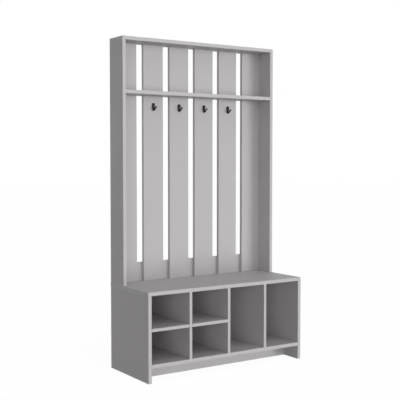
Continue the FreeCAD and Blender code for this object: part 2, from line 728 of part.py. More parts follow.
def countersink(body, bores, axis, level, name):
    """The head's cone is at 90 degrees, so its flat is as wide as the head stands out past the shank."""
    doc.recompute()
    cone = body.newObject("PartDesign::Chamfer", name)
    cone.Base = (bores, screw_mouths(bores.Shape, axis, level))
    bind(cone, "Size", "(screw_head - screw_across) / 2")


def cubby_pins(pattern):
    """Four pins under each cubby shelf, two in each upright beside it."""
    bays = (("inner_left", "bench_left_side", "right"),
            ("inner_left + bay", "divider_left", "left"),
            ("inner_left + bay_pitch", "divider_left", "right"),
            ("inner_left + bay_pitch + bay", "divider_middle", "left"))
    for edge, upright, out in bays:
        points = [(edge, line, "pin_height") for line in ("pin_1", "pin_2")]
        face = FACE_OF[out]
        drill(upright, face, [spot(point, face) for point in points],
              "pin_across + 2 * play", "pin_in_board")
        for point in points:
            add("shelf_pins", pattern, shifted(point, OPPOSITE[out], "pin_in_board"), out)


def panel_nails(pattern):
    """Nails round the back panel, into the bench's sides, bottom board and dividers."""
    low = "kick_height + carcass_board / 2"
    high = "seat_under - nail_margin"
    middle = f"({low} + {high}) / 2"
    rows = [("bench_left_side", [("left_middle", level) for level in (low, middle, high)]),
            ("bench_right_side", [("right_middle", level) for level in (low, middle, high)])]
    for index, side in enumerate(("left", "middle", "right")):
        line = f"inner_left + bay + {index} * bay_pitch + divider_board / 2"
        rows.append((f"divider_{side}", [(line, middle), (line, high)]))
    rows.append(("bench_bottom", [(f"inner_left + bay / 2 + {index} * bay_pitch", low) for index in range(4)]))
    hole = "nail_across + 2 * play"
    spots = []
    for name, row in rows:
        drill(name, "back", row, hole, "nail_length - panel_board + end_play")
        spots += row
    drill("bench_back_panel", "back", spots, hole, "panel_board")
    for across, level in spots:
        add("back_panel_nails", pattern, (across, "rear + panel_board - nail_length", level), "back")


# Coat hooks and wall brackets

def plate_outline(sketch):
    """A round foot at the origin and a wider round boss above it, joined by two tangent lines."""
    foot = size_of("hook_foot") / 2
    boss = size_of("hook_boss") / 2
    drop = size_of("hook_drop")
    lean = math.asin((boss - foot) / drop)
    up = FreeCAD.Vector(0, 0, 1)
    low = Part.ArcOfCircle(Part.Circle(FreeCAD.Vector(), up, foot), math.pi + lean, 2 * math.pi - lean)
    high = Part.ArcOfCircle(Part.Circle(FreeCAD.Vector(0, drop, 0), up, boss), -lean, math.pi + lean)
    right = Part.LineSegment(low.EndPoint, high.StartPoint)
    left = Part.LineSegment(high.EndPoint, low.StartPoint)
    sketch.addGeometry([low, right, high, left], False)
    for index in range(4):
        sketch.addConstraint(Sketcher.Constraint("Tangent", index, 2, (index + 1) % 4, 1))
    sketch.addConstraint(Sketcher.Constraint("Coincident", 0, 3, -1, 1))
    sketch.addConstraint(Sketcher.Constraint("PointOnObject", 2, 3, -2))
    hold(sketch, "DistanceY", (-1, 1, 2, 3), "hook_drop")
    hold(sketch, "Diameter", (0,), "hook_foot")
    hold(sketch, "Diameter", (2,), "hook_boss")


def prong_path(sketch):
    """Straight out of the foot, then a bend upwards, then straight to the middle of the tip."""
    root = size_of("prong_root")
    bend = size_of("prong_bend")
    turn = math.radians(size_of("prong_angle"))
    centre = FreeCAD.Vector(-root, bend, 0)
    circle_of_bend = Part.Circle(centre, FreeCAD.Vector(0, 0, 1), bend)
    arc = Part.ArcOfCircle(circle_of_bend, 1.5 * math.pi - turn, 1.5 * math.pi)
    start = Part.LineSegment(FreeCAD.Vector(), arc.EndPoint)
    run = size_of("prong_reach") + arc.StartPoint.x
    end = arc.StartPoint + FreeCAD.Vector(-run, run * math.tan(turn), 0)
    sketch.addGeometry([start, arc, Part.LineSegment(arc.StartPoint, end)], False)
    sketch.addConstraint(Sketcher.Constraint("Coincident", 0, 1, -1, 1))
    sketch.addConstraint(Sketcher.Constraint("PointOnObject", 0, 2, -1))
    sketch.addConstraint(Sketcher.Constraint("Tangent", 0, 2, 1, 2))
    sketch.addConstraint(Sketcher.Constraint("Tangent", 1, 1, 2, 1))
    hold(sketch, "DistanceX", (0, 2, -1, 1), "prong_root")
    hold(sketch, "Radius", (1,), "prong_bend")
    hold(sketch, "DistanceX", (2, 2, -1, 1), "prong_reach")
    hold(sketch, "DistanceY", (-1, 1, 2, 2), "tip_height")


def coat_hook(serial, index, screw):
    """A cast hook: a tapered plate, a bent prong with a ball tip and a locating pip behind the foot.

    In its own frame the back of the plate is at Y = 0 and the middle of the foot is at the origin.
    """
    name = f"coat_hook_{serial}"
    body = new_body(name)
    outline = new_sketch(body, "XZ_Plane", name + "_outline")
    plate_outline(outline)
    plate = pad(body, outline, "hook_plate", name + "_plate")
    doc.recompute()
    front = -size_of("hook_plate")
    rim = [f"Edge{number}" for number, edge in enumerate(plate.Shape.Edges, start=1)
           if abs(edge.BoundBox.YMax - front) < TINY]
    soft = body.newObject("PartDesign::Fillet", name + "_soft_edge")
    soft.Base = (plate, rim)
    bind(soft, "Radius", "hook_soft_edge")

    hole = new_sketch(body, "XZ_Plane", name + "_screw_spot")
    bind(hole, "AttachmentOffset.Base.z", "hook_plate")
    circle(hole, "0", "hook_drop", "screw_across + 2 * play")
    bore = pocket(body, hole, "hook_plate", name + "_screw_hole")
    countersink(body, bore, 1, front, name + "_countersink")

    path = new_sketch(body, "YZ_Plane", name + "_prong_path")
    prong_path(path)
    section = new_sketch(body, "XZ_Plane", name + "_prong_section")
    circle(section, "0", "0", "prong_across")
    prong = body.newObject("PartDesign::AdditivePipe", name + "_prong")
    prong.Profile = section
    prong.Spine = path
    tip = body.newObject("PartDesign::AdditiveSphere", name + "_tip")
    tip.AttachmentSupport = (section.AttachmentSupport[0][0], [""])
    tip.MapMode = "ObjectXY"
    bind(tip, "Radius", "tip_across / 2")
    bind(tip, "AttachmentOffset.Base.y", "tip_height")
    bind(tip, "AttachmentOffset.Base.z", "prong_reach")

    pip = new_sketch(body, "XZ_Plane", name + "_pip_outline")
    circle(pip, "0", "0", "pip_across")
    peg = pad(body, pip, "pip_length", name + "_pip")
    peg.Reversed = True

    centre = f"inner_left + {index} * slat_pitch + slat_width / 2"
    foot_level = "hook_height - hook_drop"
    place_body(body, (centre, "slat_front", foot_level))
    NODES.append(body)
    slat = f"lower_slat_{index + 1}"
    drill(slat, "front", [(centre, "hook_height")], "screw_across + 2 * play",
          "hook_screw_length - hook_plate + end_play")
    drill(slat, "front", [(centre, foot_level)], "pip_across + 2 * play", "pip_length + end_play")
    add("hook_screws", screw, (centre, "slat_front - hook_plate + hook_screw_length", "hook_height"), "forward")


def wall_bracket(side, index, screw):
    """A bent steel angle: one leg under the top board, one leg down against the wall."""
    name = f"wall_bracket_{side}"
    body = new_body(name)
    profile = new_sketch(body, "YZ_Plane", name + "_profile")
    inner = "bracket_reach - bracket_steel"
    under = "bracket_drop - bracket_steel"
    polygon(profile, [("0", under), (inner, under), (inner, "0"), ("bracket_reach", "0"),
                      ("bracket_reach", "bracket_drop"), ("0", "bracket_drop")])
    angle = pad(body, profile, "bracket_width", name + "_angle")
    doc.recompute()
    reach = angle.Shape.BoundBox.YMax
    drop = angle.Shape.BoundBox.ZMax
    steel = size_of("bracket_steel")
    for part, inset, radius in (("inside", steel, "bracket_bend"), ("outside", 0, "bracket_bend + bracket_steel")):
        bend = body.newObject("PartDesign::Fillet", f"{name}_{part}_bend")
        base = body.Group[-2]
        edges = [f"Edge{number}" for number, edge in enumerate(base.Shape.Edges, start=1)
                 if abs(edge.CenterOfMass.y - reach + inset) < TINY
                 and abs(edge.CenterOfMass.z - drop + inset) < TINY]
        bend.Base = (base, edges)
        bind(bend, "Radius", radius)
        doc.recompute()
    wall_hole = new_sketch(body, "XZ_Plane", name + "_wall_hole")
    circle(wall_hole, "bracket_width / 2", "bracket_drop - bracket_hole_drop", "bracket_hole")
    pocket(body, wall_hole, "bracket_reach", name + "_wall_bore")
    board_hole = new_sketch(body, "XY_Plane", name + "_board_hole")
    circle(board_hole, "bracket_width / 2", "(bracket_reach - bracket_steel) / 2", "screw_across + 2 * play")
    pocket(body, board_hole, "bracket_drop", name + "_board_bore", True)

    centre = f"inner_left + {index} * slat_pitch + slat_width / 2"
    place_body(body, (f"{centre} - bracket_width / 2", "slat_back + bracket_gap", "top_under - bracket_drop"))
    NODES.append(body)
    drill("upper_top_board", "bottom", [(centre, "bracket_screw_line")], "screw_across + 2 * play",
          "bracket_screw_length - bracket_steel + end_play")
    add("bracket_screws", screw,
        (centre, "bracket_screw_line", "top_under - bracket_steel + bracket_screw_length"), "down")


def check():
    """Stop if a feature failed, cut nothing or left a piece that isn't a sound solid."""
    for item in doc.Objects:
        if "Invalid" in item.State or "Error" in item.State:
            raise RuntimeError(f"{item.Name} failed: {item.State}")
    for body in doc.findObjects("PartDesign::Body"):
        volume = 0
        for feature in body.Group:
            if feature.isDerivedFrom("Sketcher::SketchObject"):
                continue
            cuts = feature.TypeId in ("PartDesign::Pocket", "PartDesign::Chamfer")
            if cuts and feature.Shape.Volume > volume - TINY:
                raise RuntimeError(f"{feature.Name} cuts nothing")
            volume = feature.Shape.Volume
    for node in NODES:
        if node.Shape.isNull() or not node.Shape.isValid() or not node.Shape.Solids:
            raise RuntimeError(f"{node.Label} isn't a sound solid")


boards()
CAMS = (cam_housing(), cam_bolt(), cap("cam_cap", "cap_across"))
PLAIN_DOWEL = dowel("plain_dowel", "dowel_length")
CONNECTOR = connector_screw()
HOOK_SCREW = countersunk_screw("hook_screw", "hook_screw_length")
bench_joints(PLAIN_DOWEL, CAMS, CONNECTOR)
upper_joints(PLAIN_DOWEL, CAMS, CONNECTOR, cap("connector_cap", "connector_cap_across"))
slat_joints(PLAIN_DOWEL, dowel("long_dowel", "long_dowel_length"),
            countersunk_screw("rail_screw", "rail_screw_length"))
cubby_pins(shelf_pin())
panel_nails(nail())
for serial, index in enumerate(HOOKED_SLATS, start=1):
    coat_hook(serial, index, HOOK_SCREW)
BRACKET_SCREW = bracket_screw()
for side, index in (("left", HOOKED_SLATS[0]), ("right", HOOKED_SLATS[-1])):
    wall_bracket(side, index, BRACKET_SCREW)
gather()
doc.recompute()
check()

os.makedirs("parts", exist_ok=True)
for node in NODES:
    node.Shape.exportStep(f"parts/{node.Label}.step")
    print(node.Label, len(node.Shape.Solids), round(node.Shape.Volume), "mm3")
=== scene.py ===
# %% [markdown]
# Hall tree. A bench with six cubbies carries a coat rack of two uprights, a hat shelf, slats and four
# hooks. The boards come packed, in metres, with every bore and eased edge. This lesson dresses them: a
# camera, soft light, laminate for the boards, cast hooks, and the small turned parts that hold the boards
# together. Each step says what the real thing is, how it could be made, and why it is made in this way.

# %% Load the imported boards
import math

import bmesh
import bpy
import numpy as np
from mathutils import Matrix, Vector


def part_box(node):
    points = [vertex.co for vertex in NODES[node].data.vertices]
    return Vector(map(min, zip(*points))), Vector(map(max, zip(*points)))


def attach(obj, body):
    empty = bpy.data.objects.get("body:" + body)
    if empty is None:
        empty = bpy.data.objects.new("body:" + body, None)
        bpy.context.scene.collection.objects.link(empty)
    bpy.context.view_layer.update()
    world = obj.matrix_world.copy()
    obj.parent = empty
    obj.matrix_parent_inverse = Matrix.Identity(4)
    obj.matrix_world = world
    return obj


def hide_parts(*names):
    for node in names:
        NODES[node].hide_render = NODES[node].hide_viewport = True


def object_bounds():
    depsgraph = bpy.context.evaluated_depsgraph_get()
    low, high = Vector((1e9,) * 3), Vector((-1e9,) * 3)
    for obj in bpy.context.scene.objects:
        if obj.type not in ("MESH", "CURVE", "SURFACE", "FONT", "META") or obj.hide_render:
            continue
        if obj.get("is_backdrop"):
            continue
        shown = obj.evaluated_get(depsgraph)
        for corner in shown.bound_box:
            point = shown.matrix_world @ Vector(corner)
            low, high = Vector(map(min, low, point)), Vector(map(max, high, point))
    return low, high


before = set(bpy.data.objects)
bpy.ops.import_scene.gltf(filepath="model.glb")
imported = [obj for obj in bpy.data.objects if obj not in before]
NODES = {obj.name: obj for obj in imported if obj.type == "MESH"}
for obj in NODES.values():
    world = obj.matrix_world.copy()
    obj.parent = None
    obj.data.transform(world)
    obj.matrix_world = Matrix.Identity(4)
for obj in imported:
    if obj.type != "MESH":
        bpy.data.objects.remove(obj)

SCENE = bpy.context.scene
CAD_LOW, CAD_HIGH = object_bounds()
MM = 0.001
print(len(NODES), "nodes, box", [round(v, 4) for v in CAD_HIGH - CAD_LOW])

# %% [markdown]
# The camera stands where the photographer's stood: to the left of the piece, at chest height, looking
# slightly down through a long lens. It could be moved by eye until the picture looks right, but some edges
# would always be off. Here its place, its turn and its lens were worked out from the straight edges of the
# boards. The place is counted from the low front left corner of the boards, so that it follows them if they
# ever move. The view transform is the plain one, without a film look, so that a grey in the picture can be
# compared with the same grey in the photograph.

# %% Camera
CAMERA_OFFSET = Vector((-2.0201, -3.5117, 1.1111))
CAMERA_TURN = 33.513    # degrees to the right of straight ahead
CAMERA_TILT = 2.764     # degrees down
FOCAL_LENGTH = 74.3     # mm
SENSOR_WIDTH = 36       # mm

lens = bpy.data.cameras.new("camera")
lens.sensor_width = SENSOR_WIDTH
lens.lens = FOCAL_LENGTH
camera = bpy.data.objects.new("camera", lens)
camera.location = CAD_LOW + CAMERA_OFFSET
camera.rotation_euler = (math.radians(90 - CAMERA_TILT), 0, -math.radians(CAMERA_TURN))
SCENE.collection.objects.link(camera)
SCENE.camera = camera
SCENE.view_settings.view_transform = "Standard"
print("camera at", [round(v, 3) for v in camera.location])

# %% [markdown]
# Studio light. The photograph is a catalogue picture: white all round, no hard shadow, a bright front, a
# grey left side and soft shade in the cubbies. A studio gets that with large softboxes: the brightest in
# front to the right, a wider one to the left, a low one straight in front, two overhead, and one behind, so
# that the back isn't left in the dark. Area lamps could stand in for them, but they light the near end of a
# tall piece more than its far end. A sun with a very wide disc lights top and foot alike, as a distant
# softbox does. A sun of strength pi lights a white card that faces it to just white, so each strength here
# is a share of that.

# %% Softboxes
# Each line: name, degrees to the right of the front, degrees above the floor, width of the disc, strength.
SOFTBOXES = [
    ("right", 30, -5, 30, 0.607),
    ("left", -35, 0, 45, 0.351),
    ("front_low", 0, -10, 45, 0.132),
    ("above", 0, 90, 60, 0.197),
    ("above_front", 0, 55, 60, 0.183),
    ("behind", 180, 0, 30, 0.270),
]

for name, degrees_right, degrees_up, disc, strength in SOFTBOXES:
    lamp = bpy.data.lights.new("softbox_" + name, "SUN")
    lamp.energy = strength * math.pi
    lamp.angle = math.radians(disc)
    right, up = math.radians(degrees_right), math.radians(degrees_up)
    towards = Vector((math.sin(right) * math.cos(up), -math.cos(right) * math.cos(up), math.sin(up)))
    softbox = bpy.data.objects.new("softbox_" + name, lamp)
    softbox.rotation_mode = "QUATERNION"
    softbox.rotation_quaternion = towards.to_track_quat("Z", "Y")
    SCENE.collection.objects.link(softbox)
    print(name, "shines from", [round(v, 2) for v in towards])

# %% [markdown]
# Materials are node trees, and these are long to write by hand. Three helpers keep them short: `put` adds a
# node, sets its fields and fills its inputs with numbers or with the sockets of other nodes, `calc` adds
# one piece of arithmetic, and `empty_tree` clears what Blender puts into a new material or world.


# %% Helpers for node trees
def put(tree, kind, inputs=None, **fields):
    """Add a node. An input that is a socket is linked, anything else becomes its value."""
    node = tree.nodes.new(kind)
    for field, value in fields.items():
        setattr(node, field, value)
    for key, value in (inputs or {}).items():
        if isinstance(value, bpy.types.NodeSocket):
            tree.links.new(value, node.inputs[key])
        else:
            node.inputs[key].default_value = value
    return node


def calc(tree, operation, *values):
    """One Math node; returns the socket of its result."""
    return put(tree, "ShaderNodeMath", dict(enumerate(values)), operation=operation).outputs[0]


def empty_tree(owner):
    """Switch on the nodes of a material or world, clear them and return their tree."""
    owner.use_nodes = True
    owner.node_tree.nodes.clear()
    return owner.node_tree


print("helpers:", put.__name__, calc.__name__, empty_tree.__name__)

# %% [markdown]
# An even white world fills what the lamps leave. With one strength for everything it would either light the
# boards too much or look grey behind them. So the camera, and anything shiny or clear, sees the world at
# strength 1, which is plain white, and the light that falls on the boards uses a much lower one. The Light
# Path node tells the two kinds of rays apart. The floor asks the same question, so it is a function.

# %% World
FILL_LIGHT = 0.03


def grey(level):
    """A grey with its four channels."""
    return (level, level, level, 1)


def seen_or_mirrored(tree):
    """1 for what the camera sees, also in shiny things or through clear ones, and 0 for other light."""
    path = put(tree, "ShaderNodeLightPath").outputs
    mirrored = calc(tree, "MAXIMUM", path["Is Glossy Ray"], path["Is Transmission Ray"])
    return calc(tree, "MAXIMUM", path["Is Camera Ray"], mirrored)


world = bpy.data.worlds.new("white_studio")
world_tree = empty_tree(world)
world_strength = put(world_tree, "ShaderNodeMix", {0: seen_or_mirrored(world_tree), 2: FILL_LIGHT, 3: 1.0},
                     data_type="FLOAT")
sky = put(world_tree, "ShaderNodeBackground", {"Color": grey(1), "Strength": world_strength.outputs[0]})
put(world_tree, "ShaderNodeOutputWorld", {"Surface": sky.outputs[0]})
SCENE.world = world
print("world strength", FILL_LIGHT, "on the boards, 1 to the camera")

# %% [markdown]
# The floor is a table of milky acrylic, as product studios use it. White card would look the same from
# above, but it sends too much light up under the piece and lets none through from below. So half of the
# light from below comes up through the table, by a Transparent shader, and what falls on it is scattered
# back. The camera and anything shiny see nearly the same white as the world's. A small share of plain card
# in that white catches the faint shadow round the feet.

# %% Floor
FLOOR_HALF = 30.0      # m
FLOOR_DROP = 0.0002    # m
LETS_THROUGH = 0.5
SCATTERS = 0.8
SEEN_WHITE = 0.955
SEEN_CARD = 0.09

floor_mesh = bpy.data.meshes.new("floor")
corners = [(x * FLOOR_HALF, y * FLOOR_HALF, -FLOOR_DROP) for x, y in ((-1, -1), (1, -1), (1, 1), (-1, 1))]
floor_mesh.from_pydata(corners, [], [(0, 1, 2, 3)])
floor = bpy.data.objects.new("floor", floor_mesh)
SCENE.collection.objects.link(floor)

table = bpy.data.materials.new("milky_table")
table_tree = empty_tree(table)
milk = put(table_tree, "ShaderNodeBsdfDiffuse", {"Color": grey(SCATTERS)})
clear = put(table_tree, "ShaderNodeBsdfTransparent", {"Color": grey(1)})
for_light = put(table_tree, "ShaderNodeMixShader", {0: LETS_THROUGH, 1: milk.outputs[0],
                                                    2: clear.outputs[0]})
card = put(table_tree, "ShaderNodeBsdfDiffuse", {"Color": grey(SEEN_CARD)})
even_white = put(table_tree, "ShaderNodeEmission", {"Color": grey(1), "Strength": SEEN_WHITE})
for_camera = put(table_tree, "ShaderNodeAddShader", {0: card.outputs[0], 1: even_white.outputs[0]})
either = put(table_tree, "ShaderNodeMixShader", {0: seen_or_mirrored(table_tree), 1: for_light.outputs[0],
                                                 2: for_camera.outputs[0]})
put(table_tree, "ShaderNodeOutputMaterial", {"Surface": either.outputs[0]})
floor_mesh.materials.append(table)
floor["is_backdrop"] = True
print("floor", FLOOR_HALF * 2, "m wide, lets through", LETS_THROUGH)

# %% [markdown]
# Two effects are shared by several finishes. They could be copied into every material, but then a change
# has to be made in each copy. A node group is built once and placed wherever it is needed, with other
# values. `new_group` makes an empty one with named sockets. The first, `fine_skin`, is the surface of
# anything coated or foiled: patches that are a touch duller or paler, and a fine orange peel for the
# relief. It works on any coordinates, in metres, and gives out only masks and a height.

# %% Shared effect: a coated skin
FINER = 3.1
FINER_SHARE = 0.35


def new_group(name, kind, inputs, outputs):
    """An empty node group with named sockets. Returns its tree and the sockets that bring its inputs."""
    tree = bpy.data.node_groups.new(name, kind)
    for label, socket_type, value in inputs:
        socket = tree.interface.new_socket(label, in_out="INPUT", socket_type=socket_type)
        if value is not None:
            socket.default_value = value
    for label, socket_type in outputs:
        tree.interface.new_socket(label, in_out="OUTPUT", socket_type=socket_type)
    return tree, put(tree, "NodeGroupInput").outputs


def noise(tree, place, scale, detail, **more):
    """One Noise Texture; returns the socket of its value."""
    inputs = {"Vector": place, "Scale": scale, "Detail": detail, **more}
    return put(tree, "ShaderNodeTexNoise", inputs).outputs[0]


fine_skin, given = new_group(
    "fine_skin", "ShaderNodeTree",
    [("Place", "NodeSocketVector", None), ("Patch Scale", "NodeSocketFloat", 9.0),
     ("Peel Scale", "NodeSocketFloat", 900.0)],
    [("Patches", "NodeSocketFloat"), ("Peel", "NodeSocketFloat"), ("Height", "NodeSocketFloat")])
patches = noise(fine_skin, given["Place"], given["Patch Scale"], 3.0, Roughness=0.55)
peel = noise(fine_skin, given["Place"], given["Peel Scale"], 2.0)
finer = noise(fine_skin, given["Place"], calc(fine_skin, "MULTIPLY", given["Peel Scale"], FINER), 0.0)
relief = calc(fine_skin, "MULTIPLY_ADD", finer, FINER_SHARE, peel)
put(fine_skin, "NodeGroupOutput", {"Patches": patches, "Peel": peel, "Height": relief})
print("group", fine_skin.name, "with", len(fine_skin.nodes), "nodes")

# %% [markdown]
# A foiled board isn't the same on every side. Its two faces carry the foil, its narrow edges carry a glued
# band, and between them runs a fine broken arris. Faces could be picked one by one for three materials, but
# a packed board is a cloud of small triangles round its bores. The normal already says where a point lies:
# along the board's thickness on a face, across it on an edge, and about halfway between on an arris. So
# `board_sides` needs only that direction, and gives out a mask for the band and one for the arris.

# %% Shared effect: faces, bands and arrises of a board
NOISE_LOW, NOISE_HIGH = 0.3, 0.7
HALFWAY = 0.7


def remap(tree, value, low, high, start=NOISE_LOW, end=NOISE_HIGH):
    """Stretch start..end of a value, which is noise unless they are given, to low..high."""
    inputs = {"Value": value, "From Min": start, "From Max": end, "To Min": low, "To Max": high}
    return put(tree, "ShaderNodeMapRange", inputs).outputs[0]


def along(tree, direction):
    """How far the surface faces along a direction: 1 fully, 0 across it, -1 against it."""
    inputs = {0: put(tree, "ShaderNodeTexCoord").outputs["Normal"], 1: direction}
    return put(tree, "ShaderNodeVectorMath", inputs, operation="DOT_PRODUCT").outputs["Value"]


board_sides, given = new_group(
    "board_sides", "ShaderNodeTree",
    [("Thickness", "NodeSocketVector", None)],
    [("Band", "NodeSocketFloat"), ("Arris", "NodeSocketFloat")])
flatness = calc(board_sides, "ABSOLUTE", along(board_sides, given["Thickness"]))
band = remap(board_sides, flatness, 0, 1, 0.5, 0.2)
off_arris = calc(board_sides, "ABSOLUTE", calc(board_sides, "SUBTRACT", flatness, HALFWAY))
arris = remap(board_sides, off_arris, 0, 1, 0.25, 0.05)
put(board_sides, "NodeGroupOutput", {"Band": band, "Arris": arris})
print("group", board_sides.name, "with", len(board_sides.nodes), "nodes")

# %% [markdown]
# Every finish below ends in one Principled shader with a colour, a roughness and a fine relief. These
# helpers do what all of them share. A number that is the same all over the surface is set on the shader's
# own input, and what changes over the surface is wired to it.


# %% Helpers for finishes
def new_material(name, fixed=None):
    """A material whose shader has some fixed inputs. Returns the material, its tree and the shader."""
    material = bpy.data.materials.new(name)
    tree = empty_tree(material)
    shader = put(tree, "ShaderNodeBsdfPrincipled", fixed)
    put(tree, "ShaderNodeOutputMaterial", {"Surface": shader.outputs[0]})
    return material, tree, shader


def object_place(tree):
    """The point's place in the piece's own coordinates, in metres."""
    return put(tree, "ShaderNodeTexCoord").outputs["Object"]


def skin_on(tree, patch_scale, peel_scale):
    """Lay the shared skin on the piece; returns its outputs."""
    inputs = {"Place": object_place(tree), "Patch Scale": patch_scale, "Peel Scale": peel_scale}
    return put(tree, "ShaderNodeGroup", inputs, node_tree=fine_skin).outputs


def blend_colours(tree, share, first, second):
    """Mix two colours; returns the socket."""
    return put(tree, "ShaderNodeMix", {0: share, 6: first, 7: second}, data_type="RGBA").outputs[2]


def wire(tree, shader, colour, rough, height, depth, strength):
    """Give the shader its colour, its roughness and a relief that is `depth` mm deep."""
    bump = put(tree, "ShaderNodeBump", {"Strength": strength, "Distance": depth * MM, "Height": height})
    for socket, key in ((colour, "Base Color"), (rough, "Roughness"), (bump.outputs[0], "Normal")):
        tree.links.new(socket, shader.inputs[key])


print("helpers:", ", ".join(f.__name__ for f in (new_material, object_place, skin_on, blend_colours, wire)))

# %% [markdown]
# The pale grey laminate is printed paper under a matt resin, pressed on the board with a fine pearl
# texture. The band on the edges is plastic, a shade paler and smoother. The arris is painted a little
# lighter: partly as scraped wear, partly as a painted highlight along the eased edge. A picture of laminate
# could be laid over each board, but it would need its own layout for every side. Noise in the board's own
# coordinates needs none and never shows a seam. One function makes the finish for any direction of the
# thickness.

# %% Laminate
FOIL = (0.497, 0.481, 0.487, 1)
BAND = (0.522, 0.506, 0.511, 1)
# Arris colour: scraped wear together with a painted highlight on the eased edge.
ARRIS_WEAR_AND_HIGHLIGHT = (0.545, 0.532, 0.534, 1)
ARRIS_WEAR_AND_HIGHLIGHT_SHARE = 0.7
BAND_GLOSSIER = -0.06


def laminate(name, thickness):
    """The grey laminate for boards whose thickness lies along one axis."""
    material, tree, shader = new_material(name, {"Specular IOR Level": 0.35})
    where = put(tree, "ShaderNodeGroup", {"Thickness": thickness}, node_tree=board_sides).outputs
    skin = skin_on(tree, 7.0, 1100.0)
    colour = blend_colours(tree, where["Band"], FOIL, BAND)
    # The arris is painted lighter: partly scraped wear, partly a painted highlight.
    arris_wear_and_highlight = calc(tree, "MULTIPLY", where["Arris"], ARRIS_WEAR_AND_HIGHLIGHT_SHARE)
    colour = blend_colours(tree, arris_wear_and_highlight, colour, ARRIS_WEAR_AND_HIGHLIGHT)
    cloud = remap(tree, skin["Patches"], 0.985, 1.015)
    speck = remap(tree, skin["Peel"], 0.965, 1.035)
    inputs = {0: colour, "Scale": calc(tree, "MULTIPLY", cloud, speck)}
    toned = put(tree, "ShaderNodeVectorMath", inputs, operation="SCALE").outputs["Vector"]
    dull = remap(tree, skin["Patches"], 0.50, 0.58)
    rough = calc(tree, "MULTIPLY_ADD", where["Band"], BAND_GLOSSIER, dull)
    wire(tree, shader, toned, rough, skin["Height"], depth=0.12, strength=0.6)
    return material


print("edges are", round(BAND[0] / FOIL[0], 3), "times as bright as the faces")

# %% [markdown]
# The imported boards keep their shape, which is right down to the bores, and only get the finish. They could
# share one material with a switch in it, but three materials, one for each way a board lies, are plainer:
# upright ones are thin from left to right, slats and rails from front to back, and shelves from top to
# bottom.

# %% Boards in their laminate
UPRIGHT = ["bench_left_side", "bench_right_side", "upper_left_side", "upper_right_side", "divider_left",
           "divider_middle", "divider_right"]
SLATS = [f"{row}_slat_{number}" for row in ("lower", "upper") for number in range(1, 7)]
LYING = ["bench_top", "bench_bottom", "upper_top_board", "upper_shelf", "cubby_shelf_left",
         "cubby_shelf_right"]


def finish_nodes(names, material):
    """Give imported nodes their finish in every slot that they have."""
    for name in names:
        mesh = NODES[name].data
        if not mesh.materials:
            mesh.materials.append(material)
        for index in range(len(mesh.materials)):
            mesh.materials[index] = material
    print(len(names), "nodes in", material.name)


finish_nodes(UPRIGHT, laminate("laminate_upright", (1, 0, 0)))
finish_nodes(["kick_board", "slat_rail"] + SLATS, laminate("laminate_facing", (0, 1, 0)))
finish_nodes(LYING, laminate("laminate_lying", (0, 0, 1)))

# %% [markdown]
# The thin back panel is pressed wood fibre. Only the face that looks into the cubbies is painted, a little
# darker than the laminate beside it, and the paint keeps a soft fleece of short hairs. The face to the wall
# stays raw and brown, with longer dark fibres. That could be two pieces or two materials on picked faces.
# One material that asks which way the surface faces does both.

# %% Back panel
PAINT_DARK, PAINT_PALE = (0.462, 0.447, 0.452, 1), (0.482, 0.467, 0.472, 1)
PAINT_HAIR = (0.30, 0.29, 0.29, 1)
RAW_PALE, RAW_DARK = (0.36, 0.235, 0.135, 1), (0.25, 0.150, 0.080, 1)
RAW_PATCH = (0.40, 0.27, 0.16, 1)
HAIRS_UPRIGHT = (1.0, 1.0, 0.22)

panel, tree, shader = new_material("painted_fibre", {"Specular IOR Level": 0.3})
skin = skin_on(tree, 11.0, 520.0)
place = object_place(tree)
stretched = put(tree, "ShaderNodeMapping", {"Vector": place, "Scale": HAIRS_UPRIGHT}).outputs[0]
hairs = noise(tree, stretched, 1500.0, 3.0)
painted = blend_colours(tree, remap(tree, skin["Patches"], 0, 1), PAINT_DARK, PAINT_PALE)
painted = blend_colours(tree, remap(tree, hairs, 0, 0.06, 0.4, 0.75), painted, PAINT_HAIR)
fibres = noise(tree, place, 420.0, 5.0, Roughness=0.7, Distortion=1.6)
raw = blend_colours(tree, remap(tree, fibres, 0, 1, 0.38, 0.66), RAW_PALE, RAW_DARK)
raw = blend_colours(tree, remap(tree, skin["Patches"], 0, 0.35, 0.4, 0.7), raw, RAW_PATCH)
to_wall = remap(tree, along(tree, (0, 1, 0)), 0, 1, -0.9, -0.6)
wire(tree, shader, blend_colours(tree, to_wall, painted, raw), remap(tree, hairs, 0.56, 0.70, 0, 1), hairs,
     depth=0.08, strength=0.3)
finish_nodes(["bench_back_panel"], panel)

# %% [markdown]
# Metals. The steel angles, screws and bolts are zinc plated: thin, slightly cloudy, with fine marks from
# tumbling in a drum. The cams are cast zinc, duller and grainier. A plain grey metal would do at a
# distance, but close by it looks like plastic foil. Both are the same function with other numbers, because
# only scale and depth differ.

# %% Plated steel and cast zinc
CLOUDY = 0.82


def bare_metal(name, colour, rough, grain_scale, grain_depth):
    """A metal with cloudy patches and fine grain, `grain_depth` mm deep."""
    material, tree, shader = new_material(name, {"Metallic": 1.0})
    skin = skin_on(tree, 160.0, grain_scale)
    cloudy = tuple(CLOUDY * part for part in colour[:3]) + (1,)
    mottled = blend_colours(tree, remap(tree, skin["Patches"], 0, 1, 0.35, 0.7), colour, cloudy)
    uneven = remap(tree, skin["Peel"], rough - 0.07, rough + 0.1)
    wire(tree, shader, mottled, uneven, skin["Height"], depth=grain_depth, strength=0.4)
    return material


plated_steel = bare_metal("plated_steel", (0.62, 0.62, 0.60, 1), 0.34, 2600.0, 0.02)
cast_zinc = bare_metal("cast_zinc", (0.50, 0.50, 0.51, 1), 0.48, 1500.0, 0.05)
finish_nodes(["wall_bracket_left", "wall_bracket_right"], plated_steel)
finish_nodes(["cam_housings"], cast_zinc)

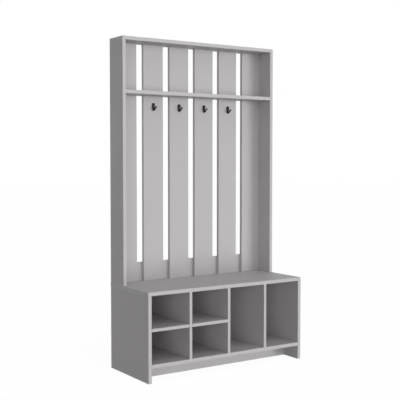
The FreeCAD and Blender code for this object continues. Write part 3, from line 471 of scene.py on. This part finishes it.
# %% [markdown]
# The hooks and their screws are black. Powder paint melts to a satin skin with a fine orange peel, and
# where it pooled it is glossier. Pure black would be simplest, but a real coat scatters a little light, so
# it is nearly black and not quite. Its gloss is kept low, because in an all white room every bit of gloss
# turns black paint grey.

# %% Black powder paint
BLACK, BLACK_PALE = (0.0035, 0.0035, 0.004, 1), (0.006, 0.006, 0.0065, 1)


def black_paint(name, rough, peel_scale):
    """Satin black coat over metal."""
    material, tree, shader = new_material(name, {"Specular IOR Level": 0.2})
    skin = skin_on(tree, 120.0, peel_scale)
    colour = blend_colours(tree, remap(tree, skin["Patches"], 0, 1), BLACK, BLACK_PALE)
    uneven = remap(tree, skin["Patches"], rough - 0.05, rough + 0.06)
    wire(tree, shader, colour, uneven, skin["Height"], depth=0.05, strength=0.35)
    return material


hook_black = black_paint("hook_black", 0.42, 1300.0)
screw_black = black_paint("screw_black", 0.36, 2400.0)
print("paints", hook_black.name, screw_black.name)

# %% [markdown]
# Dowels are beech, and its short dark flecks and faint growth lines run along the dowel. A pattern in the
# piece's own coordinates would run the same way through every dowel, also through those that lie across it.
# So each dowel brings its own place along in an attribute, `own_place`: where the point was in the dowel's
# own axes, before it was laid in the furniture. The pattern is stretched along that.

# %% Beech
BEECH_PALE, BEECH_LINE = (0.60, 0.43, 0.27, 1), (0.50, 0.34, 0.20, 1)
BEECH_FLECK = (0.30, 0.18, 0.10, 1)
ALONG_DOWEL = (1.0, 1.0, 0.08)

beech, tree, shader = new_material("beech")
own_place = put(tree, "ShaderNodeAttribute", attribute_name="own_place").outputs["Vector"]
drawn_out = put(tree, "ShaderNodeMapping", {"Vector": own_place, "Scale": ALONG_DOWEL}).outputs[0]
growth = noise(tree, drawn_out, 700.0, 4.0)
flecks = noise(tree, drawn_out, 3200.0, 1.0)
colour = blend_colours(tree, remap(tree, growth, 0, 1, 0.35, 0.7), BEECH_PALE, BEECH_LINE)
colour = blend_colours(tree, remap(tree, flecks, 0, 0.5, 0.62, 0.75), colour, BEECH_FLECK)
wire(tree, shader, colour, remap(tree, growth, 0.52, 0.68, 0, 1), growth, depth=0.06, strength=0.4)
print("wood", beech.name)

# %% [markdown]
# The caps over the screws are moulded in the boards' own colour. They could take the laminate, but moulded
# plastic is smoother than foil, with a spark-eroded texture so fine that it only shows as a soft sheen.

# %% Cap plastic
CAP_DARK, CAP_PALE = (0.505, 0.490, 0.494, 1), (0.520, 0.505, 0.509, 1)

cap_plastic, tree, shader = new_material("cap_plastic", {"Specular IOR Level": 0.4})
skin = skin_on(tree, 90.0, 3000.0)
colour = blend_colours(tree, remap(tree, skin["Patches"], 0, 1), CAP_DARK, CAP_PALE)
wire(tree, shader, colour, remap(tree, skin["Peel"], 0.40, 0.48), skin["Height"], depth=0.02, strength=0.3)
print("plastic", cap_plastic.name)

# %% [markdown]
# Now the fasteners. Their places could be typed in again, but then a bore that moves would leave its screw
# behind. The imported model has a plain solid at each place, so the places are read from those. A node holds
# all fasteners of one kind, and `loose_parts` splits it: it starts at any point and walks along edges until
# no neighbour is left, which is one part.


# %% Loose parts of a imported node
def loose_parts(name):
    """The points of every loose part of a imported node, as one array for each part."""
    shape = bmesh.new()
    shape.from_mesh(NODES[name].data)
    bmesh.ops.remove_doubles(shape, verts=shape.verts, dist=1e-6)
    waiting = set(shape.verts)
    parts = []
    while waiting:
        part = [waiting.pop()]
        for vert in part:
            neighbours = [edge.other_vert(vert) for edge in vert.link_edges]
            fresh = [other for other in neighbours if other in waiting]
            waiting.difference_update(fresh)
            part += fresh
        parts.append(np.array([vert.co[:] for vert in part]))
    shape.free()
    return parts


print("rail screws:", len(loose_parts("rail_screws")))

# %% [markdown]
# A fastener is longer or flatter than it is wide, so its axis is the side of its box that differs most from
# the other two. Its head is the wider of the two ends. That gives the point in the middle of the head, the
# direction from there into the wood, and the length.

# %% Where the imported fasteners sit
END_SHARE = 0.12


def seat(points):
    """The middle of the head, the direction from it into the wood, and the length of one part."""
    low, high = points.min(0), points.max(0)
    middle, size = (low + high) / 2, high - low
    axis = int(np.argmax([abs(size[i] - (size.sum() - size[i]) / 2) for i in range(3)]))
    across = np.linalg.norm(np.delete(points - middle, axis, axis=1), axis=1)
    at_low = across[points[:, axis] < low[axis] + END_SHARE * size[axis]].max()
    at_high = across[points[:, axis] > high[axis] - END_SHARE * size[axis]].max()
    head, direction = middle.copy(), np.zeros(3)
    head[axis] = low[axis] if at_low >= at_high else high[axis]
    direction[axis] = 1.0 if at_low >= at_high else -1.0
    return tuple(head), tuple(direction), float(size[axis])


def seats(name):
    """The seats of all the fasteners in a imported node, in a fixed order."""
    return sorted(seat(points) for points in loose_parts(name))


for name in ("rail_screws", "board_dowels", "cam_caps"):
    head, direction, length = seats(name)[0]
    print(name, "first head at", [round(v, 4) for v in head], "and", round(length / MM, 1), "mm long")

# %% [markdown]
# Screws, bolts, pins, nails, caps and dowels are all turned parts: one profile carried round an axis. A
# Screw modifier could turn one, but it cuts no thread and no recess and repeats nothing. Geometry Nodes do
# all of that in one tree, which serves twelve kinds of parts. Its inputs are the places as points, the
# profile as an object, and a few sizes in metres.

# %% Inputs of the tree for turned parts
turner, size = new_group(
    "turned_parts", "GeometryNodeTree",
    [("Geometry", "NodeSocketGeometry", None), ("Profile", "NodeSocketObject", None),
     ("Steps Round", "NodeSocketInt", 24), ("Thread Pitch", "NodeSocketFloat", 0.001),
     ("Thread Depth", "NodeSocketFloat", 0.0), ("Thread Start", "NodeSocketFloat", 0.0),
     ("Thread End", "NodeSocketFloat", 0.0), ("Flutes", "NodeSocketInt", 0),
     ("Flute Depth", "NodeSocketFloat", 0.0), ("Has Recess", "NodeSocketBool", False),
     ("Hexagon", "NodeSocketBool", False), ("Recess Across", "NodeSocketFloat", 0.003),
     ("Recess Width", "NodeSocketFloat", 0.0008), ("Recess Depth", "NodeSocketFloat", 0.001),
     ("Finish", "NodeSocketMaterial", None)],
    [("Geometry", "NodeSocketGeometry")])
print("tree", turner.name, "with", len(turner.interface.items_tree), "sockets")

# %% [markdown]
# The turned surface starts as a flat grid, one metre square, that will be rolled up. Its columns become
# steps round the axis. Each of its rows takes radius and depth from one point of the profile. A curve swept
# round a circle would do the same, but a grid keeps every row in reach of the arithmetic that cuts the
# thread.

# %% A flat sheet with the profile's rows
FULL_TURN = 2 * math.pi

position = put(turner, "GeometryNodeInputPosition").outputs[0]
profile = put(turner, "GeometryNodeObjectInfo", {"Object": size["Profile"]}).outputs["Geometry"]
counted = put(turner, "GeometryNodeAttributeDomainSize", {"Geometry": profile}, component="MESH")
rows = counted.outputs["Point Count"]
columns = calc(turner, "ADD", size["Steps Round"], 1.0)
sheet = put(turner, "GeometryNodeMeshGrid", {"Size X": 1.0, "Size Y": 1.0, "Vertices X": columns,
                                             "Vertices Y": rows})
on_sheet = put(turner, "ShaderNodeSeparateXYZ", {0: position})
angle = calc(turner, "MULTIPLY", calc(turner, "ADD", on_sheet.outputs[0], 0.5), FULL_TURN)
up_sheet = calc(turner, "ADD", on_sheet.outputs[1], 0.5)
row = calc(turner, "ROUND", calc(turner, "MULTIPLY", up_sheet, calc(turner, "SUBTRACT", rows, 1.0)))
sample = put(turner, "GeometryNodeSampleIndex", {"Geometry": profile, "Value": position, "Index": row},
             data_type="FLOAT_VECTOR", domain="POINT")
profile_point = put(turner, "ShaderNodeSeparateXYZ", {0: sample.outputs[0]})
plain_radius, depth = profile_point.outputs[0], profile_point.outputs[2]
print("the sheet has", len(turner.nodes), "nodes so far")

# %% [markdown]
# A lathe takes metal off, and so does this: it makes the radius smaller. A thread is a groove that moves
# down by one pitch with each turn. Depth over pitch, less the share of a turn, therefore counts turns of
# the groove, and the fraction of that count, folded at its middle, is a V. A dowel's flutes are a cosine
# wave round the axis.

# %% Thread and flutes
turns = calc(turner, "SUBTRACT", calc(turner, "DIVIDE", depth, size["Thread Pitch"]),
             calc(turner, "DIVIDE", angle, FULL_TURN))
off_middle = calc(turner, "ABSOLUTE", calc(turner, "MULTIPLY_ADD", calc(turner, "FRACT", turns), 2.0, -1.0))
groove = calc(turner, "SUBTRACT", 1.0, off_middle)
on_thread = calc(turner, "MULTIPLY", calc(turner, "GREATER_THAN", depth, size["Thread Start"]),
                 calc(turner, "LESS_THAN", depth, size["Thread End"]))
thread_cut = calc(turner, "MULTIPLY", calc(turner, "MULTIPLY", groove, on_thread), size["Thread Depth"])
wave = calc(turner, "COSINE", calc(turner, "MULTIPLY", angle, size["Flutes"]))
flute_cut = calc(turner, "MULTIPLY", calc(turner, "MULTIPLY_ADD", wave, -0.5, 0.5), size["Flute Depth"])
cut_radius = calc(turner, "SUBTRACT", calc(turner, "SUBTRACT", plain_radius, thread_cut), flute_cut)
radius = calc(turner, "MAXIMUM", cut_radius, 0.0)
print("thread and flutes:", len(turner.nodes), "nodes so far")

# %% [markdown]
# Rolling is only a change of place: every point of the sheet goes to its radius and angle. The first and
# the last column meet there, and so do all points at the tip, so they are merged, or else the part would
# have an open seam and its poles would be full of slits.

# %% Rolling the sheet up
TOUCHING = 1e-6    # m

x = calc(turner, "MULTIPLY", radius, calc(turner, "COSINE", angle))
y = calc(turner, "MULTIPLY", radius, calc(turner, "SINE", angle))
rolled = put(turner, "ShaderNodeCombineXYZ", {0: x, 1: y, 2: depth})
open_part = put(turner, "GeometryNodeSetPosition", {"Geometry": sheet.outputs[0],
                                                    "Position": rolled.outputs[0]})
part = put(turner, "GeometryNodeMergeByDistance", {"Geometry": open_part.outputs[0], "Distance": TOUCHING})
print("rolled:", len(turner.nodes), "nodes so far")

# %% [markdown]
# A driver needs a recess in the head: a cross in wood screws, a hexagon in connector screws. Its walls are
# flat, which a rolled sheet can't have, so it is cut out by a Boolean: with two crossed bars, or with a
# prism of six sides. Last, each point's place is stored as `own_place`, while the part still stands in its
# own axes.

# %% Driver recess
twice_deep = calc(turner, "MULTIPLY", size["Recess Depth"], 2.0)
bar_size = put(turner, "ShaderNodeCombineXYZ", {0: size["Recess Across"], 1: size["Recess Width"],
                                                2: twice_deep})
bar = put(turner, "GeometryNodeMeshCube", {"Size": bar_size.outputs[0]})
crossed = put(turner, "GeometryNodeTransform", {"Geometry": bar.outputs[0],
                                                "Rotation": (0, 0, FULL_TURN / 4)})
to_corner = calc(turner, "DIVIDE", size["Recess Across"], math.sqrt(3))
prism = put(turner, "GeometryNodeMeshCylinder", {"Vertices": 6, "Radius": to_corner, "Depth": twice_deep})
first = put(turner, "GeometryNodeSwitch", {"Switch": size["Hexagon"], "False": bar.outputs[0],
                                           "True": prism.outputs["Mesh"]}, input_type="GEOMETRY")
second = put(turner, "GeometryNodeSwitch", {"Switch": size["Hexagon"], "False": crossed.outputs[0]},
             input_type="GEOMETRY")
cut = put(turner, "GeometryNodeMeshBoolean", {"Mesh 1": part.outputs[0], "Mesh 2": first.outputs[0]},
          operation="DIFFERENCE", solver="EXACT")
turner.links.new(second.outputs[0], cut.inputs["Mesh 2"])
single = put(turner, "GeometryNodeSwitch", {"Switch": size["Has Recess"], "False": part.outputs[0],
                                            "True": cut.outputs[0]}, input_type="GEOMETRY")
kept = put(turner, "GeometryNodeStoreNamedAttribute",
           {"Geometry": single.outputs[0], "Name": "own_place", "Value": position},
           data_type="FLOAT_VECTOR", domain="POINT")
print("recess:", len(turner.nodes), "nodes so far")

# %% [markdown]
# The single part is copied to every point and turned into the wood, by a direction that each point carries.
# Instances are light, but an export drops them, so they are made real. Smooth shading would smear light
# over a rim, and flat shading would show the steps round the axis, so only edges that bend sharply stay
# sharp.

# %% Copies in place
SHARP = 0.6    # radians

aim = put(turner, "GeometryNodeInputNamedAttribute", {"Name": "into_wood"}, data_type="FLOAT_VECTOR")
aimed = put(turner, "FunctionNodeAlignRotationToVector", {"Vector": aim.outputs[0]}, axis="Z")
copies = put(turner, "GeometryNodeInstanceOnPoints", {
    "Points": size["Geometry"], "Instance": kept.outputs[0], "Rotation": aimed.outputs[0]})
real = put(turner, "GeometryNodeRealizeInstances", {"Geometry": copies.outputs[0]})
smooth = put(turner, "GeometryNodeSetShadeSmooth", {"Geometry": real.outputs[0], "Shade Smooth": True},
             domain="FACE")
bend = put(turner, "GeometryNodeInputMeshEdgeAngle").outputs["Unsigned Angle"]
edged = put(turner, "GeometryNodeSetShadeSmooth", {"Geometry": smooth.outputs[0], "Shade Smooth": False,
                                                   "Selection": calc(turner, "GREATER_THAN", bend, SHARP)},
            domain="EDGE")
dressed = put(turner, "GeometryNodeSetMaterial", {"Geometry": edged.outputs[0], "Material": size["Finish"]})
put(turner, "NodeGroupOutput", {"Geometry": dressed.outputs[0]})
print("tree", turner.name, "with", len(turner.nodes), "nodes")

# %% [markdown]
# Three more helpers. A profile is written as a list of (radius, depth) in millimetres, from the middle of
# the head down to the point. `profile_object` makes it a chain of points, with extra ones on long runs,
# because a thread needs several rows for each turn. `outward` mends what rolling can leave: doubled points,
# and faces that look inwards. `keep_piece` makes a finished mesh a piece, which rides on the furniture's
# one body.


# %% Helpers for pieces
def profile_object(name, points, step):
    """The profile in metres, with extra points every `step` mm on long runs, or none where step is None."""
    rows = [points[0]]
    for (r0, z0), (r1, z1) in zip(points, points[1:]):
        parts = max(1, math.ceil(abs(z1 - z0) / step)) if step else 1
        rows += [(r0 + (r1 - r0) * k / parts, z0 + (z1 - z0) * k / parts) for k in range(1, parts + 1)]
    mesh = bpy.data.meshes.new(name)
    mesh.from_pydata([(r * MM, 0, z * MM) for r, z in rows], [(k, k + 1) for k in range(len(rows) - 1)], [])
    holder = bpy.data.objects.new(name, mesh)
    SCENE.collection.objects.link(holder)
    return holder


def outward(mesh):
    """Merge what coincides and make every face point outwards."""
    shape = bmesh.new()
    shape.from_mesh(mesh)
    bmesh.ops.remove_doubles(shape, verts=shape.verts, dist=1e-7)
    bmesh.ops.recalc_face_normals(shape, faces=shape.faces)
    shape.to_mesh(mesh)
    shape.free()


def keep_piece(name, mesh, slot, node):
    """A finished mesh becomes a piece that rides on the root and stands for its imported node."""
    mesh.name = name
    piece = bpy.data.objects.new(name, mesh)
    SCENE.collection.objects.link(piece)
    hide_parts(node)
    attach(piece, "root")
    print(name, len(mesh.vertices), "points")


print("helpers:", profile_object.__name__, outward.__name__, keep_piece.__name__)

# %% [markdown]
# `turned_piece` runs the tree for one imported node. It makes a small mesh with one point at each place,
# hands the sizes over by the sockets' identifiers, and keeps only the finished mesh. The modifier could
# stay live, but a plain mesh is what other tools can read. Every number socket of the tree is a length, so
# lengths are given in millimetres here and turned into metres on the way. `thread` and `cross` name the
# sizes that belong together.


# %% Running the tree
def thread(pitch, depth, start, end):
    """From turn to turn, how deep, and where along the part it starts and ends, all in mm."""
    return {"thread_pitch": pitch, "thread_depth": depth, "thread_start": start, "thread_end": end}


def cross(across, deep):
    """The crossed slots for a driver, in mm."""
    return {"has_recess": True, "recess_across": across, "recess_width": 0.9, "recess_depth": deep}


def turned_piece(node, slot, finish, points, step=None, **sizes):
    """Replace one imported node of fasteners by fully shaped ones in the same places. Lengths are in mm."""
    places = seats(node)
    mesh = bpy.data.meshes.new(node + "_places")
    mesh.from_pydata([head for head, direction, length in places], [], [])
    aims = mesh.attributes.new("into_wood", "FLOAT_VECTOR", "POINT")
    for index, (head, direction, length) in enumerate(places):
        aims.data[index].vector = direction
    holder = bpy.data.objects.new(node + "_places", mesh)
    SCENE.collection.objects.link(holder)
    outline = profile_object(node + "_profile", points, step)
    modifier = holder.modifiers.new("turned", "NODES")
    modifier.node_group = turner
    values = {key.replace("_", " ").title(): value for key, value in sizes.items()}
    values.update({"Profile": outline, "Finish": finish})
    for item in turner.interface.items_tree:
        if item.in_out == "INPUT" and item.name in values:
            is_length = item.socket_type == "NodeSocketFloat"
            modifier[item.identifier] = values[item.name] * MM if is_length else values[item.name]
    result = bpy.data.meshes.new_from_object(holder.evaluated_get(bpy.context.evaluated_depsgraph_get()))
    holder.modifiers.remove(modifier)
    bpy.data.objects.remove(holder)
    bpy.data.objects.remove(outline)
    outward(result)
    keep_piece(node + "_shaped", result, slot, node)


print("ready to turn", turner.name)

# %% [markdown]
# Screws first. Countersunk ones hold the rail to the slats and each hook to its slat: a flat disc over a
# cone, then a shank with a coarse wood thread down to the point. They could all be one size, as they all
# but vanish in the picture, but a screw that comes out of the other side of a board is wrong at any
# distance.

# %% Countersunk screws
SHANK = 2.0


def screw_profile(head, length):
    """A head, given as its own rows, on a shank with a point."""
    return head + [(SHANK, length - 3.0), (0.35, length - 0.2), (0, length)]


def countersunk(radius):
    """The flat disc and the cone of a countersunk head."""
    return [(0, 0), (radius - 0.25, 0), (radius, 0.2), (radius, 0.35), (SHANK, 2.1)]


turned_piece("rail_screws", "plated_steel", plated_steel, screw_profile(countersunk(3.8), 27.0), step=0.3,
             steps_round=24, **thread(1.8, 0.55, 6.0, 25.5), **cross(3.6, 1.3))
turned_piece("hook_screws", "black_screw", screw_black, screw_profile(countersunk(3.75), 18.0), step=0.3,
             steps_round=24, **thread(1.6, 0.55, 4.0, 16.8), **cross(3.4, 1.3))

# %% [markdown]
# The screws of the wall angles are short and stout. Steel can't be countersunk when it is thin, so their
# heads are domed and lie on it.

# %% Pan-head screws
PAN_HEAD = [(0, 0), (1.6, 0.05), (2.6, 0.35), (3.3, 0.95), (3.5, 1.6), (3.5, 2.4), (SHANK, 2.4)]

turned_piece("bracket_screws", "plated_steel", plated_steel, screw_profile(PAN_HEAD, 16.4), step=0.3,
             steps_round=24, **thread(1.8, 0.5, 4.6, 15.0), **cross(3.4, 1.4))

# %% [markdown]
# Wood dowels are fluted, so that glue and air can get out of a blind bore, and their ends are bevelled, so
# that they start easily. A fluted shape could be extruded from a drawn outline. In the tree's terms the
# flutes are one number and a depth, and the bevel is two points of the profile. The hat shelf's dowels are
# longer than the others, because they go right through it into two slats, so each length is read from the
# packed dowels.

# %% Dowels
DOWEL, BEVEL = 4.0, 1.0


def dowel_profile(length):
    """A rod with a bevel at both ends, in mm."""
    return [(0, 0), (DOWEL - BEVEL, 0), (DOWEL, BEVEL), (DOWEL, length / 2), (DOWEL, length - BEVEL),
            (DOWEL - BEVEL, length), (0, length)]


for node in ("board_dowels", "slat_dowels", "shelf_dowels"):
    dowel_length = round(seats(node)[0][2] / MM, 2)
    turned_piece(node, "beech", beech, dowel_profile(dowel_length), steps_round=48, flutes=16,
                 flute_depth=0.35)

# %% [markdown]
# The panel nails are wire nails with a flat round head and a point. A disc on a rod would pass for one from
# afar. Here the head has a thin rim that rounds over, and catches a line of light.

# %% Nails
NAIL = [(0, 0), (1.3, 0.02), (1.8, 0.12), (2.0, 0.3), (2.0, 0.5), (0.7, 0.55), (0.7, 16.6), (0.05, 18.5),
        (0, 18.5)]

turned_piece("back_panel_nails", "plated_steel", plated_steel, NAIL, steps_round=20)

# %% [markdown]
# A cubby shelf lies on four steel pins. Each is turned with a collar that stops it at the board, and its
# outer end is rounded, so that a shoe doesn't catch on it. The part in the bore is 7.4 mm long, and what is
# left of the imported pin's length is the part that carries the shelf.

# %% Shelf pins
IN_BORE = 7.4

pin_length = seats("shelf_pins")[0][2] / MM
PIN_HEAD = pin_length - IN_BORE
PIN = [(0, 0), (2.3, 0.0), (3.1, 0.35), (3.5, 1.1), (3.5, PIN_HEAD - 2.1), (3.5, PIN_HEAD), (2.5, PIN_HEAD),
       (2.5, pin_length - 0.8), (2.0, pin_length), (0, pin_length)]
turned_piece("shelf_pins", "plated_steel", plated_steel, PIN, steps_round=28)

# %% [markdown]
# Cam bolts screw into one board's face and reach with a thin neck and a round head into the cam of the
# other board. Connector screws go through a board into another one's end grain, with a hexagon recess in a
# flat head. Both are hidden in the finished piece and could stay plain, but they are what holds it, so they
# get their threads too.

# %% Cam bolts and connector screws
CAM_BOLT = [(0, 0), (2.2, 0), (3.2, 0.6), (3.5, 1.6), (3.5, 2.8), (2.9, 3.7), (2.0, 4.0), (2.0, 10.0),
            (2.6, 10.3), (3.2, 10.9), (3.2, 35.3), (2.6, 36.0), (3.0, 36.3), (3.0, 46.0), (2.0, 47.0),
            (0, 47.0)]
CONNECTOR = [(0, 0), (4.7, 0), (5.0, 0.3), (5.0, 2.9), (3.5, 3.5), (3.5, 14.5), (2.8, 15.0), (2.8, 47.0),
             (0.5, 49.8), (0, 50.0)]

turned_piece("cam_bolts", "plated_steel", plated_steel, CAM_BOLT, step=0.6, steps_round=16,
             **thread(2.4, 0.6, 36.5, 46.0))
turned_piece("connector_screws", "plated_steel", plated_steel, CONNECTOR, step=0.5, steps_round=18,
             has_recess=True, hexagon=True, recess_across=4.0, recess_depth=2.4,
             **thread(3.0, 0.7, 16.0, 48.0))

# %% [markdown]
# Flat caps hide the cams and the connector screws that a user could see. A disc would do, if its edge
# weren't what the light catches. A moulded cap is a thin dome with a soft rim, on a stub that grips the
# recess below it.


# %% Caps
def cap_profile(across):
    """A thin dome with a soft rim on a stub, in mm."""
    rim = across / 2
    dome = [(0, 0), (0.5 * rim, 0.01), (0.8 * rim, 0.06), (rim - 0.7, 0.16), (rim - 0.25, 0.36)]
    stub = [(1.1, 0.9), (1.1, 2.2), (0.9, 2.4), (0, 2.4)]
    return dome + [(rim, 0.75), (rim, 0.9)] + stub


turned_piece("cam_caps", "cap_plastic", cap_plastic, cap_profile(17.0), steps_round=64)
turned_piece("connector_caps", "cap_plastic", cap_plastic, cap_profile(13.0), steps_round=56)

# %% [markdown]
# The four coat hooks are cast in one piece: a plate with a wide boss above and a narrow foot below, and a
# round prong that leaves the foot, bends up and ends in a ball, so that no coat is pierced. The prong's
# middle line is straight, then a part of a circle, then straight again. It could be drawn as a curve by
# hand. Written as a function of the distance from the slat, it gives height and slope for every ring of the
# prong.

# %% Sizes of a hook and the line of its prong
# Millimetres and degrees. BOSS, FOOT, PRONG_THICK, PRONG_THIN and BALL are measured across.
HOOK_DROP = 28.5
BOSS, FOOT = 17.0, 10.0
PLATE = 8.0
PRONG_THICK, PRONG_THIN = 7.6, 6.6
PRONG_ROOT, PRONG_BEND, PRONG_ANGLE, PRONG_REACH = 10.0, 8.0, 39.0, 30.8
BALL = 9.8


def prong_line(reach):
    """Middle of the prong at a distance from the slat: the height there and the slope, mm and radians."""
    bend_end = PRONG_ROOT + PRONG_BEND * math.sin(math.radians(PRONG_ANGLE))
    if reach <= PRONG_ROOT:
        return 0.0, 0.0
    if reach <= bend_end:
        slope = math.asin((reach - PRONG_ROOT) / PRONG_BEND)
        return PRONG_BEND * (1 - math.cos(slope)), slope
    slope = math.radians(PRONG_ANGLE)
    return PRONG_BEND * (1 - math.cos(slope)) + (reach - bend_end) * math.tan(slope), slope


BALL_HEIGHT = prong_line(PRONG_REACH)[0]
print("the ball stands", round(BALL_HEIGHT, 1), "mm above the foot")

# %% [markdown]
# The plate is a wedge with round ends, flat at the back and softly rounded in front. A cube could be
# bevelled into it, but its outline wouldn't be true. Here it is a stack of outlines, each the hull of two
# circles, and a little smaller towards the front. Local axes: x to the right, y out of the slat towards the
# coat, z up.

# %% Plate of a hook
PLATE_STACK = [(0.0, 0.35), (0.35, 0.0), (5.0, 0.3), (6.3, 0.8), (7.2, 1.5), (7.8, 2.5), (8.0, 3.4)]


def wedge_outline(shrink, steps=20):
    """Points round the hull of the boss circle and the foot circle, both smaller by `shrink`."""
    lean = math.asin((BOSS - FOOT) / 2 / HOOK_DROP)
    points = []
    for centre, radius, start, end in ((HOOK_DROP, BOSS / 2 - shrink, -lean, math.pi + lean),
                                       (0.0, FOOT / 2 - shrink, math.pi + lean, FULL_TURN - lean)):
        for k in range(steps + 1):
            turn = start + (end - start) * k / steps
            points.append((radius * math.cos(turn), centre + radius * math.sin(turn)))
    return points


plate_rings = [[(x, depth, z) for x, z in wedge_outline(shrink)] for depth, shrink in PLATE_STACK]
print(len(plate_rings), "plate outlines of", len(plate_rings[0]), "points")

# %% [markdown]
# The prong is a row of rings across its line, thicker at the foot than at the ball. Where it leaves the
# plate it swells a little, as a founder would draw it, because a sudden step tears when the metal shrinks.

# %% Prong of a hook
RINGS, RING_POINTS = 40, 24
PRONG_INSIDE = 1.0
SWELL, SWELL_FADE, SWELL_SINK = 1.0, 1.6, 0.4

prong_rings = []
for k in range(RINGS + 1):
    reach = PRONG_INSIDE + (PRONG_REACH - PRONG_INSIDE) * k / RINGS
    height, slope = prong_line(reach)
    swell = SWELL * math.exp(-max(0, reach - PLATE + SWELL_SINK) / SWELL_FADE)
    ring_radius = (PRONG_THICK + (PRONG_THIN - PRONG_THICK) * (k / RINGS)) / 2 + swell
    ring = []
    for j in range(RING_POINTS):
        turn = FULL_TURN * j / RING_POINTS
        aside, rise = ring_radius * math.cos(turn), ring_radius * math.sin(turn)
        ring.append((aside, reach - rise * math.sin(slope), height + rise * math.cos(slope)))
    prong_rings.append(ring)
print(len(prong_rings), "prong rings of", RING_POINTS, "points")

# %% [markdown]
# Both stacks of rings become closed solids by the same function: side faces from ring to ring, and a lid at
# each end. The ball is a sphere at the prong's end. The screw's seat is a cone that will be cut out of the
# boss, turned so that its wide end looks to the front.

# %% Bodies of a hook
SEAT_NARROW, SEAT_WIDE, SEAT_DEEP, SEAT_SINK = 2.1, 4.6, 2.4, 0.95


def solid_of(rings):
    """Close a stack of rings, each with the same number of points, into one solid."""
    shape = bmesh.new()
    rows = [[shape.verts.new([c * MM for c in point]) for point in ring] for ring in rings]
    for low, high in zip(rows, rows[1:]):
        for k in range(len(low)):
            after = (k + 1) % len(low)
            shape.faces.new((low[k], low[after], high[after], high[k]))
    shape.faces.new(rows[0][::-1])
    shape.faces.new(rows[-1])
    bmesh.ops.recalc_face_normals(shape, faces=shape.faces)
    return shape


ball = bmesh.new()
bmesh.ops.create_icosphere(ball, subdivisions=4, radius=BALL / 2 * MM)
bmesh.ops.translate(ball, verts=ball.verts, vec=(0, PRONG_REACH * MM, BALL_HEIGHT * MM))
screw_seat = bmesh.new()
bmesh.ops.create_cone(screw_seat, cap_ends=True, segments=48, radius1=SEAT_NARROW * MM,
                      radius2=SEAT_WIDE * MM, depth=SEAT_DEEP * MM)
for vert in screw_seat.verts:
    vert.co = (vert.co.x, PLATE * MM - SEAT_SINK * MM + vert.co.z, HOOK_DROP * MM - vert.co.y)
bmesh.ops.recalc_face_normals(screw_seat, faces=screw_seat.faces)
print("ball", len(ball.verts), "points, screw seat", len(screw_seat.verts), "points")

# %% [markdown]
# A casting has no sharp inner corner, because metal doesn't flow into one. Modelled face by face, that look
# is hard to get. Here the plain bodies are pushed into each other and joined, a voxel remesh melts them
# into one skin, and some smoothing rounds every inner corner. The seat is cut before that, so its rim comes
# out soft too.

# %% Melting the bodies together
VOXEL = 0.36    # mm


def plain_object(name, shape):
    """An object in the scene from a bmesh, which is freed."""
    mesh = bpy.data.meshes.new(name)
    shape.to_mesh(mesh)
    shape.free()
    thing = bpy.data.objects.new(name, mesh)
    SCENE.collection.objects.link(thing)
    return thing


plate = plain_object("hook_plate", solid_of(plate_rings))
prong = plain_object("hook_prong", solid_of(prong_rings))
tip = plain_object("hook_ball", ball)
cutter = plain_object("hook_seat_cut", screw_seat)
for operation, other in (("UNION", prong), ("UNION", tip), ("DIFFERENCE", cutter)):
    join = plate.modifiers.new("join", "BOOLEAN")
    join.operation = operation
    join.solver = "EXACT"
    join.object = other
melt = plate.modifiers.new("melt", "REMESH")
melt.mode = "VOXEL"
melt.voxel_size = VOXEL * MM
melt.use_smooth_shade = True
even_out = plate.modifiers.new("even_out", "SMOOTH")
even_out.factor = 0.5
even_out.iterations = 7
cast = bpy.data.meshes.new_from_object(plate.evaluated_get(bpy.context.evaluated_depsgraph_get()))
for thing in (plate, prong, tip, cutter):
    bpy.data.objects.remove(thing)
outward(cast)
print("one hook has", len(cast.polygons), "faces")

# %% [markdown]
# Smoothing draws a casting in by a hair, so the back of the plate is pressed flat again on the slat's face.
# Then the same casting goes to each of the four places. Four linked copies would be lighter, but a piece
# must sit at the origin with its place in its mesh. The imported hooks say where: the middle of each one's
# width, and the slat behind it gives the face. The paint's coordinates are the piece's own, so no two hooks
# share a pattern.

# %% Four hooks in place
BACK_ZONE, BACK_LOST = 0.0006, 0.0002    # m

own = np.empty(len(cast.vertices) * 3)
cast.vertices.foreach_get("co", own)
own = own.reshape(-1, 3)
own[:, 1] = np.where(own[:, 1] < BACK_ZONE, np.maximum(own[:, 1] - BACK_LOST, 0.0), own[:, 1])
for number in range(1, 5):
    node = f"coat_hook_{number}"
    low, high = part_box(node)
    slat_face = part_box(f"lower_slat_{number + 1}")[0].y
    middle, foot = (low.x + high.x) / 2, high.z - (HOOK_DROP + BOSS / 2) * MM
    placed = np.column_stack((middle + own[:, 0], slat_face - own[:, 1], foot + own[:, 2]))
    mesh = cast.copy()
    mesh.vertices.foreach_set("co", placed.ravel())
    mesh.flip_normals()    # because y is mirrored to the front
    mesh.materials.clear()
    mesh.materials.append(hook_black)
    mesh.polygons.foreach_set("use_smooth", [True] * len(mesh.polygons))
    keep_piece(f"cast_hook_{number}", mesh, "hook_black", node)
    print(node, [round(v / MM, 1) for v in (placed.max(0) - placed.min(0))], "mm")

# %% [markdown]
# Final bookkeeping. The box of the dressed object is printed, so that it can be set beside the box of
# the imported boards that was printed at the start.

# %% Sizes and finish
low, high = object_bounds()
print("dressed box", [round(v, 4) for v in high - low])
